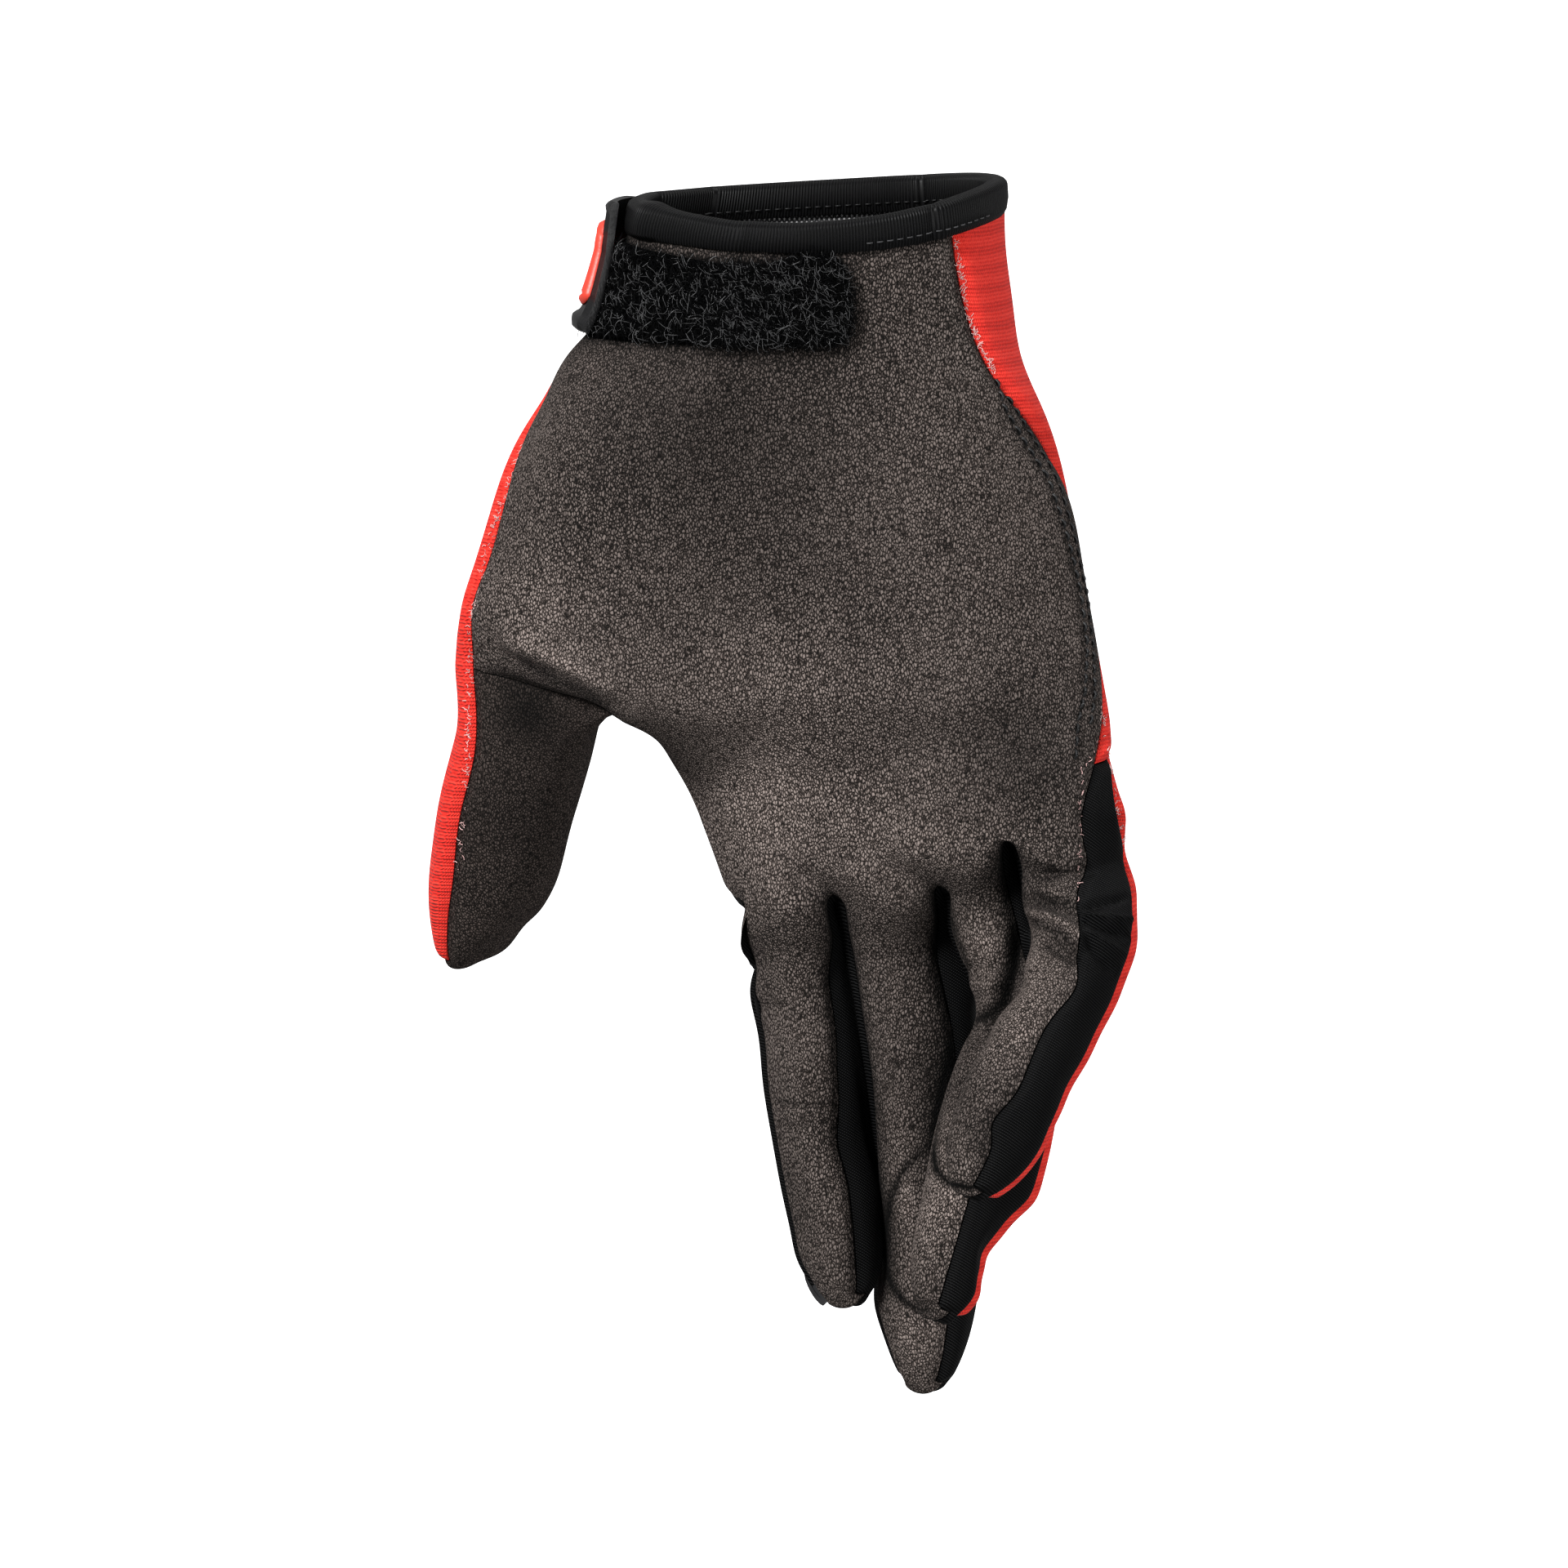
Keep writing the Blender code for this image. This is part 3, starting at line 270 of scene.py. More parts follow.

# Lines on the photograph along which painted shade darkens the suede, as contact shadows between the fingers
# and shade in creases and along seams, and a painted highlight lightens it on crests and bulges: a line of
# pixels, its half width in pixels and by how much
PAINTED_LIGHT_COLUMNS = ("line", "width", "change")
PAINTED_LIGHT_LINES = (
    (((1228, 1036), (1236, 1060), (1242, 1085), (1248, 1120), (1247, 1150), (1240, 1190), (1229, 1225),
      (1213, 1241), (1194, 1250), (1176, 1268)), 7.5, -1.0),
    (((1184, 1256), (1166, 1280), (1155, 1320), (1146, 1365), (1142, 1405), (1146, 1432), (1162, 1449),
      (1188, 1455), (1206, 1448), (1216, 1430)), 6.0, -1.0),
    (((1146, 1396), (1125, 1412), (1103, 1436), (1090, 1470), (1084, 1510), (1084, 1550), (1092, 1575),
      (1106, 1592), (1124, 1603), (1150, 1607)), 6.0, -0.95),
    (((1160, 1105), (1171, 1150), (1186, 1183), (1179, 1217), (1170, 1250), (1166, 1290)), 5.0, -0.8),
    (((1256, 1115), (1290, 1125), (1318, 1141), (1327, 1158)), 4.0, 0.7),
    (((1262, 1130), (1296, 1142), (1322, 1164)), 5.0, -0.55),
    (((1252, 1098), (1290, 1104), (1318, 1106)), 6.0, -0.30),
    (((632, 803), (652, 816), (680, 832), (715, 848), (752, 872)), 6.0, -0.60),
    (((640, 784), (680, 805), (720, 827), (762, 852)), 8.0, 0.30),
    (((1196, 1296), (1240, 1268), (1290, 1254)), 9.0, 0.35),
    (((1160, 1360), (1180, 1410), (1186, 1436)), 9.0, 0.35),
    (((1112, 1450), (1108, 1510), (1112, 1570)), 9.0, 0.40),
    (((943, 1346), (990, 1353), (1034, 1352)), 3.0, -0.35),
    (((946, 1379), (990, 1377), (1030, 1368)), 3.0, -0.25),
    (((910, 1236), (960, 1245), (1016, 1238)), 4.0, -0.22),
    (((1174, 1192), (1205, 1197), (1234, 1184)), 4.0, -0.35),
    (((1172, 1224), (1200, 1219), (1225, 1206)), 4.0, -0.25),
    (((1074, 1190), (1110, 1184), (1143, 1175)), 4.0, -0.22),
    (((1082, 1318), (1115, 1310), (1144, 1303)), 3.0, -0.22),
    (((1216, 466), (1254, 548), (1280, 588), (1302, 650), (1318, 720), (1327, 791), (1324, 849),
      (1316, 883)), 3.0, -0.40),
    (((1236, 484), (1262, 528), (1287, 568), (1301, 596), (1319, 660), (1333, 730), (1341, 791),
      (1343, 850)), 3.0, -0.45),
    (((1310, 640), (1324, 700), (1334, 760), (1336, 830)), 2.5, 0.35),
)

# Small shifts of the outline on the photograph: place, shift and radius in pixels, the parts that they move,
# and the panel if they move one only
NUDGE_COLUMNS = ("x", "y", "dx", "dy", "radius", "parts", "panel")
NUDGES = (
    (692, 445, -14, 0, 42, "hand", ""),
    (598, 640, 6, 0, 90, "hand", ""),
    (556, 770, 5, 0, 60, "hand", ""),
    (1240, 300, -4, 0, 60, "hand", ""),
    (1262, 440, -6, 0, 60, "hand", ""),
    (1378, 1040, 10, 0, 40, "hand", ""),
    (1385, 1040, 10, 0, 40, "pinky", ""),
    (1384, 1082, 14, 0, 34, "hand pinky", ""),
    (1395, 1200, -8, 0, 40, "pinky", ""),
    (1365, 1270, -10, 0, 50, "pinky", ""),
    (1335, 1340, -14, 0, 40, "pinky", ""),
    (1305, 1385, -6, 0, 30, "pinky", ""),
    (1310, 1060, 14, 0, 32, "hand pinky", ""),
    (1292, 1205, 18, 0, 34, "pinky", ""),
    (1236, 1375, -16, 0, 28, "pinky", ""),
    (1240, 1140, 8, 0, 26, "pinky", ""),
    (1214, 1205, 26, 0, 34, "pinky", ""),
    (1186, 1262, 8, 6, 26, "pinky", ""),
    (1245, 1500, -12, 0, 26, "ring", ""),
    (1232, 1535, -22, 0, 26, "ring", ""),
    (1222, 1570, -13, 0, 24, "ring", ""),
    (1275, 1462, 1, 6, 24, "ring", ""),
    (645, 1150, -8, -14, 36, "thumb", ""),
    (604, 1182, 0, -6, 26, "thumb", ""),
    (548, 1170, -4, 12, 30, "thumb", ""),
    (560, 1100, 5, 0, 50, "thumb", ""),
    (516, 970, -2, 0, 50, "thumb", ""),
    (665, 1110, -6, 0, 34, "thumb", ""),
    (603, 1178, -12, 0, 24, "thumb", ""),
    (724, 945, -5, 0, 50, "thumb", ""),
    (790, 905, 8, 0, 30, "hand", ""),
    (1062, 1320, 6, 0, 45, "index", "index_middle_gusset"),
    (1062, 1400, 8, 0, 45, "index", "index_middle_gusset"),
    (1062, 1470, 8, 0, 45, "index", "index_middle_gusset"),
    (1062, 1540, 7, 0, 45, "index", "index_middle_gusset"),
    (984, 1550, -8, 0, 40, "index", ""),
    (906, 1140, 16, 0, 36, "index hand", "index_outer_gusset"),
    (903, 1150, 16, 0, 26, "index hand", "index_outer_gusset"),
    (902, 1112, 9, 0, 20, "index hand", "index_outer_gusset"),
    (912, 1140, -9, 0, 30, "index hand", ""),
    (908, 1180, 9, 0, 30, "index", ""),
    (922, 1265, 7, 0, 50, "index", ""),
    (1382, 1050, 13, 0, 44, "hand pinky", "back_panel"),
    (1372, 1005, 7, 0, 30, "hand", "back_panel"),
    (1012, 1592, -6, 0, 24, "index", ""),
    (708, 418, -8, 0, 30, "hand", ""),
    (1072, 1595, -6, 0, 36, "middle", ""),
    (1028, 1400, -8, 0, 34, "index", ""),
    (1008, 1150, 12, 0, 34, "index", ""),
    (1135, 1130, 9, 0, 28, "middle", ""),
    (1160, 1130, 16, 0, 40, "middle", "middle_ring_gusset"),
    (1165, 1190, 22, 0, 45, "middle", "middle_ring_gusset"),
    (1060, 1130, -8, 0, 34, "middle", ""),
)

# Places on the photograph where the skin is evened out: place and radius in pixels, and how many rounds.
# EVEN_NEAR and EVEN_REACH are squares of the distance, over the radius, of what is looked at and what moves.
EVEN_COLUMNS = ("x", "y", "radius", "rounds")
EVEN_NEAR = 4.0
EVEN_REACH = 3.0
EVENS = (
    (1345, 1050, 55, 160),
    (1360, 940, 45, 120),
    (905, 1110, 30, 60),
)

# Places along the cuff, and the cloth's real thickness there
WRIST_BOTTOM = -0.055
WRIST_REACH = -0.034
CUFF_LOWEST = 0.012
CUFF_CLOTH = 0.0013
BINDING_CLOTH = 0.0007
BINDING_REACH = 0.003

# Binding: rounds of smoothing along its edge, where it is narrower, and where its rolled end lies
RIM_ROUNDS = 12
LOW_BINDING_DEG = 250.0
LOW_BINDING_SPREAD_DEG = 45.0
LOW_BINDING_SHARE = 0.25
ROLL_DEG = 203.0
ROLL_SPREAD_DEG = 7.0
ROLL_SWELL = 0.0012

# Section of the folded binding: its bulges, the sag of its hems and its crown. The shares of its legs' height
# say where they turn in, where they are thickest and where the cloth's edge ends inside it.
BINDING_BULGE = 0.0003
BINDING_INNER_BULGE = 0.0002
BINDING_SAG = 0.0002
CROWN_STEPS = 8
CROWN_FLATNESS = 0.75
LEG_TURN = 0.86
LEG_BELLY = 0.45
LEG_CORE = 0.3
OUTER_HEM = 0.55
INNER_HEM = 0.8

# Closure tab: ridges of its front edge, rim, taper and lean, and how the binding puffs it out
TAB_COLUMNS = 150
TAB_ROWS = 41
TAB_RIDGE_START = 0.0002
TAB_RIDGE_BAND = 0.0019
TAB_RIDGE = 0.0006
TAB_GROOVE = 0.0003
TAB_RIDGES = 3
TAB_RIM = 0.0005
TAB_RIM_INSET = 0.0012
TAB_RIM_WIDTH = 0.0007
TAB_EDGE = 0.0008
TAB_ROUNDING = 0.0006
TAB_TAPER = 0.0009
TAB_LEAN = 0.0014
BINDING_PUFF = 0.0013
PUFF_START = 0.9

# Patch on the tab: its soft corners, the dome of its edge and the sunk line inside it
PATCH_COLUMNS = 60
PATCH_ROWS = 25
PATCH_CORNER = 0.30
PATCH_CORNER_POWER = 6
PATCH_LENGTH = 0.020
PATCH_SINK = 0.0002
PATCH_DOME = 0.0010
PATCH_GROOVE = 0.0003
PATCH_GROOVE_INSET = 0.0018
PATCH_GROOVE_WIDTH = 0.0003

# Loop tape's backing: its rounded edge, its height off the suede as a share of the gap, and the share of its
# length at which its top leaves the binding's edge and over which it falls
LOOP_COLUMNS = 90
LOOP_COLUMN_POWER = 1.2
LOOP_ROWS = 24
LOOP_EDGE = 0.0009
LOOP_ROUNDING = 0.6
LOOP_LIFT = 0.3
LOOP_LEAVES = 0.5
LOOP_FALLS = 0.4

# Curled fibres of the loop tape: how they lie, arch and curl
FIBRE_COLUMNS = ("name", "count", "radius", "height", "seed")
FIBRES = (
    ("loop_fuzz_light", 1300, 0.000035, 0.0009, 11),
    ("loop_fuzz_dark", 4500, 0.00006, 0.0008, 12),
)
FIBRE_MARGIN = 0.0001
FIBRE_LEAN = (-0.9, 0.7)
FIBRE_LENGTHS = (0.0012, 0.0036)
FIBRE_CURL = 0.30
FIBRE_ARCHES = (0.3, 1.0)
FIBRE_WAVES = 4.0
FIBRE_PHASES = 6.28
FIBRE_FOOT = 0.8
FIBRE_POINTS = 7

# Depth below the cuff at which the lining's pale dots have faded out
LINING_SEEN = 0.060

# Stitches along the binding. The sizes of a stitch are its length, width and height, here and below.
FRONT_STITCHES_DEG = (292.0, 342.0)
BACK_STITCHES_DEG = (30.0, 150.0)
BINDING_STITCH_PITCH = 0.0017
BINDING_STITCH_SHARE = 0.72
BINDING_STITCH_LIFT = 0.0003
BINDING_STITCH_SIZE = (0.0009, 0.00022, 0.00016)
STITCH_ARCH = 1.6
STITCH_POINTS = 7
STITCH_SIDES = 6

# Pale sweep under and behind the glove, and how brightly its paper and the surround shine
SWEEP_SIZE = 3.0
SWEEP_BACK = 1.6
SWEEP_RADIUS = 0.8
SWEEP_STEPS = 12
FLOOR_Z = -0.34
PAPER_GLOW = 0.85
WORLD_STRENGTH = 0.27

# Lights round the glove: place, size in metres and power in watts
LIGHT_COLUMNS = ("name", "place", "size", "power")
LIGHTS = (
    ("key", (-0.80, -0.85, 0.75), 0.30, 32.0),
    ("fill", (0.85, -1.1, -0.05), 0.8, 14.0),
    ("top", (0.1, 0.25, 1.1), 0.6, 7.0),
)
LIGHT_TARGET = Vector((0.0, 0.0, -0.10))

# How far off other cloth still darkens the suede as painted shade and how strongly, and how steep its
# cells' edges are
PAINTED_SHADE_REACH = 0.010
PAINTED_SHADE_POWER = 2.2
CELL_STEEPNESS = 3.2

# Suede's colours, and the thumb's, which are darker as painted shade because the thumb lies in the hand's
# shade
SUEDE_DARK = (0.0040, 0.0032, 0.0028)
SUEDE_MIDDLE = (0.035, 0.0275, 0.0243)
SUEDE_LIGHT = (0.155, 0.128, 0.116)
SHADED_THUMB_DARK = (0.0032, 0.0024, 0.0021)
SHADED_THUMB_MIDDLE = (0.022, 0.0165, 0.0142)
SHADED_THUMB_LIGHT = (0.080, 0.063, 0.056)

# Places on the photograph where pools of painted light make the suede lighter and patches of painted shade
# make it darker: place and radius in pixels, and by how much
PAINTED_LIGHT_PATCH_COLUMNS = ("x", "y", "radius", "change")
PAINTED_LIGHT_PATCHES = (
    (660, 750, 80, 0.55),
    (925, 960, 120, 0.85),
    (1100, 1015, 85, 0.35),
    (950, 815, 120, 0.25),
    (1205, 1145, 50, 0.75),
    (1117, 1650, 50, 0.55),
    (1095, 1460, 70, 0.90),
    (1180, 1405, 40, 0.85),
    (1117, 1510, 40, -0.35),
    (975, 1230, 70, 0.20),
    (990, 1490, 50, -0.25),
    (650, 860, 48, -0.85),
    (1245, 890, 70, -0.55),
    (950, 480, 130, -0.28),
    (800, 490, 120, -0.42),
    (950, 660, 130, -0.22),
    (1225, 1320, 55, -0.75),
    (640, 1000, 90, -0.40),
)

# Double row of stitches down the palm's right side: lines of pixels, and the size of a stitch
SIDE_STITCH_ROWS = (
    ("side_stitches_inner", ((1219, 462), (1230, 499), (1257, 545), (1283, 585), (1305, 650), (1322, 720),
                             (1331, 791), (1328, 849), (1320, 883), (1317, 925))),
    ("side_stitches_outer", ((1233, 484), (1259, 528), (1284, 568), (1298, 596), (1316, 660), (1330, 730),
                             (1338, 791), (1340, 850), (1334, 895))),
)
SIDE_STITCH_PITCH = 0.0022
SIDE_STITCH_SIZE = (0.0015, 0.00052, 0.00034)

# Seams where pale ends of thread show: a line of pixels, count and seed
THREAD_LINES = (
    ("threads_cuff_seam", ((1161, 268), (1173, 315), (1181, 374), (1198, 421), (1219, 457)), 130, 21),
    ("threads_thumb_seam", ((640, 545), (600, 660), (577, 760), (574, 850), (572, 950), (562, 1070)),
     150, 22),
    ("threads_pinky_seam", ((1352, 880), (1355, 905), (1360, 941), (1366, 975), (1373, 1010),
                            (1378, 1050)), 60, 23),
    ("threads_suede_end", ((1348, 862), (1346, 905), (1338, 925), (1326, 942), (1322, 990),
                           (1322, 1100)), 36, 24),
)

# Loose ends of thread: how far apart their places are, how far off they stray along the seam and across it,
# and their size, rise and curl
THREAD_PITCH = 0.0008
THREAD_SLIP = 0.0006
THREAD_SPREAD = 0.00022
THREAD_LENGTH = 0.0009
THREAD_RADIUS = 0.00006
THREAD_LIFT = 0.00005
THREAD_RISE = 0.5
THREAD_CURL = 0.4
THREAD_POINTS = 5


def mix(start, end, share):
    """What lies at a share of the way from start to end."""
    return start + (end - start) * share


def rows_of(columns, table):
    """The rows of a table, each as its values by the names of their columns."""
    return [dict(zip(columns, row)) for row in table]


def unit(vectors):
    """Vectors made one long."""
    return vectors / np.maximum(np.linalg.norm(vectors, axis=-1, keepdims=True), TINY)


def reach_of(points):
    """How far along a path of points each of them lies."""
    return np.concatenate([[0.0], np.cumsum(np.linalg.norm(np.diff(points, axis=0), axis=1))])


def read_off(places, known, values):
    """Rows of values that belong to known places, read off at other places between them."""
    return np.stack([np.interp(places, known, values[:, axis]) for axis in range(values.shape[1])], axis=-1)


def across_at(place):
    """How far left or right, -1 to 1, a place round a section lies."""
    sine = math.sin(place * math.pi / 2.0)
    return math.copysign(abs(sine) ** (2.0 / SECTION_POWER), sine)


def side_middle(seam, back):
    """A place between two seams round a side, on the outline itself where that lies between them."""
    outline = math.copysign(1.0, back)
    lowest, highest = sorted((mix(seam, back, SIDE_MARGIN), mix(seam, back, 1.0 - SIDE_MARGIN)))
    return min(highest, max(lowest, outline))


def section_point(section, place):
    """A point of one section: on the front for a place within -1 to 1, and past that round the back."""
    across = across_at(place)
    share = (across + 1.0) / 2.0
    split_share = (across_at(section["split"]) + 1.0) / 2.0
    left = Vector((section["left_x"], section["left_y"], section["left_z"]))
    right = Vector((section["right_x"], section["right_y"], section["right_z"]))
    point = left.lerp(right, share)
    drop = share / split_share if share < split_share else (1.0 - share) / (1.0 - split_share)
    point.z -= section["split_drop"] * min(1.0, drop)
    roundness = max(0.0, 1.0 - abs(across) ** SECTION_POWER) ** (1.0 / SECTION_POWER)
    if abs(place) <= 1.0:
        pad = section["thenar"] if across < 0.0 else section["hypothenar"]
        depth = mix(section["hollow"], pad, min(1.0, abs(across) / PAD_REACH))
        point.y -= depth * roundness
        point.z -= section["front_drop"] * (1.0 - across * across)
    else:
        point.y += section["back"] * roundness
        point.z -= section["back_drop"] * (1.0 - across * across)
    return Vector((point.x * HAND_WIDTH, point.y * HAND_DEPTH, point.z * HAND_LENGTH))


def section_ring(section, with_thumb):
    """The points round one section, from the left seam over the front and back to the left side."""
    split = section["split"]
    left_seam = section["left_seam"]
    left_back = section["left_back"]
    right_seam = section["right_seam"]
    right_back = section["right_back"]
    shares = [step / PALM_STEPS for step in range(PALM_STEPS + 1)]
    places = [left_seam, mix(left_seam, split, 0.5)] if with_thumb else []
    places += [mix(split, right_seam, share) for share in shares]
    places.append(side_middle(right_seam, right_back))
    split_end = TURN / 2.0 - split if with_thumb else TURN + left_back
    places += [mix(right_back, split_end, share) for share in shares]
    if with_thumb:
        places += [mix(split_end, TURN + left_back, 0.5), TURN + left_back]
    places.append(side_middle(left_seam if with_thumb else split, left_back))
    return [section_point(section, place - TURN if place > TURN / 2.0 else place) for place in places]


def root_ring():
    """The points round the palm where the fingers start, in the order of a section without a thumb."""
    sizes = Vector((HAND_WIDTH, HAND_DEPTH, HAND_LENGTH))
    roots = rows_of(ROOT_COLUMNS, FINGER_ROOTS)
    front, back = [[Vector([root[f"{side}_{axis}"] for axis in "xyz"]) * sizes for root in roots]
                   for side in ("front", "back")]

    def with_middles(corners, swell):
        points = [corners[0]]
        for near, far in zip(corners, corners[1:]):
            points += [near.lerp(far, 0.5) + Vector((0.0, swell, 0.0)), far]
        return points

    front_points = with_middles(front, -ROOT_FRONT_SWELL)
    back_points = with_middles(back, ROOT_BACK_SWELL)
    right_side = front[-1].lerp(back[-1], 0.5) + ROOT_RIGHT_SWELL
    left_side = front[0].lerp(back[0], 0.5) + ROOT_LEFT_SWELL
    return front_points + [right_side] + back_points[::-1] + [left_side]


def bone_chain(name, start):
    """The joints of one finger, from the middle of its root to its tip."""
    joints = [start]
    for bone in rows_of(BONE_COLUMNS, FINGER_BONES[name]):
        swing = math.radians(bone["swing"])
        lean = math.radians(bone["lean"])
        down = math.cos(lean)
        direction = Vector((math.sin(swing) * down, -math.sin(lean), -math.cos(swing) * down))
        joints.append(joints[-1] + direction * (bone["share"] * LENGTHS[name]))
    return joints


def chain_point(name, joints, along):
    """The place on a finger's bones at a share of its length."""
    reach = 0.0
    for index, bone in enumerate(rows_of(BONE_COLUMNS, FINGER_BONES[name])):
        if along <= reach + bone["share"] or index == len(FINGER_BONES[name]) - 1:
            break
        reach += bone["share"]
    return joints[index].lerp(joints[index + 1], (along - reach) / bone["share"])


def finger_rings(name, root):
    """The rings of points down one finger: left, middle and right of its front, side, back and side."""
    joints = bone_chain(name, sum(root, Vector()) / len(root))
    width = THUMB_WIDTH if name == "thumb" else FINGER_WIDTH
    depth = THUMB_DEPTH if name == "thumb" else FINGER_DEPTH
    left, right = FRONT_SPANS[name]
    rings = []
    for ring in rows_of(RING_COLUMNS, FINGER_RINGS[name]):
        place = chain_point(name, joints, ring["along"])
        ahead = chain_point(name, joints, min(1.0, ring["along"] + BEND_SHARE))
        behind = chain_point(name, joints, max(0.0, ring["along"] - BEND_SHARE))
        direction = (ahead - behind).normalized()
        turn = math.radians(ring["turn"])
        palm_side = Vector((-math.sin(turn), -math.cos(turn), 0.0))
        palm_side = (palm_side - direction * palm_side.dot(direction)).normalized()
        right_side = palm_side.cross(direction).normalized()
        if right_side.x < 0.0:
            right_side.negate()
        points = []
        for degrees in (left, RING_DEGREES[0], right, *RING_DEGREES[1:]):
            angle = math.radians(degrees)
            across = right_side * (math.sin(angle) * ring["width"] * width / 2.0)
            forward = palm_side * (math.cos(angle) * ring["depth"] * depth / 2.0)
            points.append(place + across + forward)
        rings.append(points)
    return rings, joints[-1]


class Cage:
    """Points, four-sided faces, and the panel and the part of each face."""

    def __init__(self):
        self.points = []
        self.faces = []
        self.panels = []
        self.parts = []

    def add_points(self, points):
        first = len(self.points)
        self.points += points
        return list(range(first, first + len(points)))

    def add_face(self, corners, panel, part):
        self.faces.append(corners)
        self.panels.append(PANELS.index(panel))
        self.parts.append(PARTS.index(part))

    def bridge(self, upper, lower, panel_of_step, part="hand"):
        """Join two closed rows of the same length. The panel of each step comes from panel_of_step."""
        for step, corner in enumerate(upper):
            ahead = (step + 1) % len(upper)
            self.add_face((corner, lower[step], lower[ahead], upper[ahead]), panel_of_step(step), part)


def hand_panel(step):
    """Panel of a step round the hand above the thumb's root."""
    return "palm_panel" if step < FRONT_STEPS else "back_panel"


def palm_panel_step(step, gusset_starts):
    """Panel of a step round the palm below the thumb's root."""
    if step < PALM_STEPS:
        return "palm_panel"
    if step < PALM_STEPS + 2:
        return "pinky_outer_gusset" if gusset_starts else "back_panel"
    if step < 2 * PALM_STEPS + 2:
        return "back_panel"
    return "palm_panel"


def finger_panel(name, step):
    """Panel of a step round a finger: two steps to the front, two to each side and two to the back."""
    if name == "thumb":
        return "thumb_panel" if step < 4 else "back_panel"
    if step < 2:
        return "palm_panel"
    if 4 <= step < 6:
        return "back_panel"
    left_gusset, right_gusset = SIDE_GUSSETS[name]
    return right_gusset if step < 4 else left_gusset


def build_cage():
    """The cage of the glove: the hand, the palm below the thumb, and the fingers and the thumb."""
    cage = Cage()
    hand_rows = [cage.add_points(section_ring(section, True))
                 for section in rows_of(SECTION_COLUMNS, HAND_SECTIONS)]
    for upper, lower in zip(hand_rows, hand_rows[1:]):
        cage.bridge(upper, lower, hand_panel)

    split = hand_rows[-1]
    back_split = FRONT_STEPS + PALM_STEPS + 2
    crotch_middle = cage.points[split[THUMB_STEPS]].lerp(cage.points[split[back_split]], 0.5)
    crotch = cage.add_points([crotch_middle + Vector((0.0, 0.0, CROTCH_LIFT))])[0]
    palm_rows = [split[THUMB_STEPS:back_split + 1] + [crotch]]
    thumb_top = split[:THUMB_STEPS + 1] + [crotch] + split[back_split:]
    for section in rows_of(SECTION_COLUMNS, PALM_SECTIONS):
        palm_rows.append(cage.add_points(section_ring(section, False)))
    palm_rows.append(cage.add_points(root_ring()))
    for level, (upper, lower) in enumerate(zip(palm_rows, palm_rows[1:])):
        cage.bridge(upper, lower, lambda step: palm_panel_step(step, level > 0))

    roots = palm_rows[-1]
    front = roots[:PALM_STEPS + 1]
    back = roots[PALM_STEPS + 2:2 * PALM_STEPS + 3][::-1]
    sides = [roots[-1]]
    for place in range(2, PALM_STEPS, 2):
        middle = cage.points[front[place]].lerp(cage.points[back[place]], 0.5)
        sides += cage.add_points([middle - Vector((0.0, 0.0, WEB_DROP))])
    sides.append(roots[PALM_STEPS + 1])

    starts = {"thumb": thumb_top}
    for number, name in enumerate(FINGERS):
        own = slice(2 * number, 2 * number + 3)
        starts[name] = front[own] + [sides[number + 1]] + back[own][::-1] + [sides[number]]
    for name, upper in starts.items():
        rings, tip = finger_rings(name, [cage.points[point] for point in upper])
        for ring in rings:
            lower = cage.add_points(ring)
            cage.bridge(upper, lower, lambda step: finger_panel(name, step), name)
            upper = lower
        centre = cage.add_points([tip])[0]
        front_cap = "thumb_panel" if name == "thumb" else "palm_panel"
        left_cap, right_cap = SIDE_GUSSETS.get(name, ("thumb_panel", "thumb_panel"))
        for corner, cap in ((0, front_cap), (2, front_cap), (4, right_cap), (6, left_cap)):
            behind = upper[(corner - 1) % len(upper)]
            cage.add_face((upper[corner], behind, centre, upper[corner + 1]), cap, name)
    return cage


def smoothed(points, cage, level):
    """Points, faces, panels and parts of the cage once subdivided. The cage's own points come first."""
    mesh = bpy.data.meshes.new("skin")
    mesh.from_pydata([tuple(point) for point in points], [], cage.faces)
    labels = [panel * len(PARTS) + part for panel, part in zip(cage.panels, cage.parts)]
    for _ in range(len(PANELS) * len(PARTS)):
        mesh.materials.append(None)
    mesh.polygons.foreach_set("material_index", labels)
    holder = bpy.data.objects.new("skin_holder", mesh)
    bpy.context.collection.objects.link(holder)
    modifier = holder.modifiers.new("smooth", "SUBSURF")
    modifier.levels = level
    modifier.render_levels = level
    modifier.boundary_smooth = "ALL"
    fine = holder.evaluated_get(bpy.context.evaluated_depsgraph_get()).to_mesh()
    fine_points = np.empty(len(fine.vertices) * 3)
    fine.vertices.foreach_get("co", fine_points)
    fine_faces = np.empty(len(fine.loops), dtype=np.int64)
    fine.loops.foreach_get("vertex_index", fine_faces)
    fine_labels = np.empty(len(fine.polygons), dtype=np.int64)
    fine.polygons.foreach_get("material_index", fine_labels)
    bpy.data.objects.remove(holder, do_unlink=True)
    bpy.data.meshes.remove(mesh)
    panels, parts = np.divmod(fine_labels, len(PARTS))
    return fine_points.reshape(-1, 3), fine_faces.reshape(-1, 4), panels, parts


def fitted_cage(cage):
    """The cage's points, pushed out until the smooth skin passes through the sections."""
    targets = np.array([tuple(point) for point in cage.points])
    points = targets.copy()
    for _ in range(FIT_ROUNDS):
        fine = smoothed(points, cage, FIT_LEVEL)[0]
        points += targets - fine[:len(targets)]
    return points


def normals_of(points, faces):
    """The normal of each point, as the mean of its faces' normals by their area."""
    across = points[faces[:, 2]] - points[faces[:, 0]]
    along = points[faces[:, 3]] - points[faces[:, 1]]
    of_faces = np.cross(across, along)
    normals = np.zeros_like(points)
    for corner in range(4):
        np.add.at(normals, faces[:, corner], of_faces)
    return unit(normals)


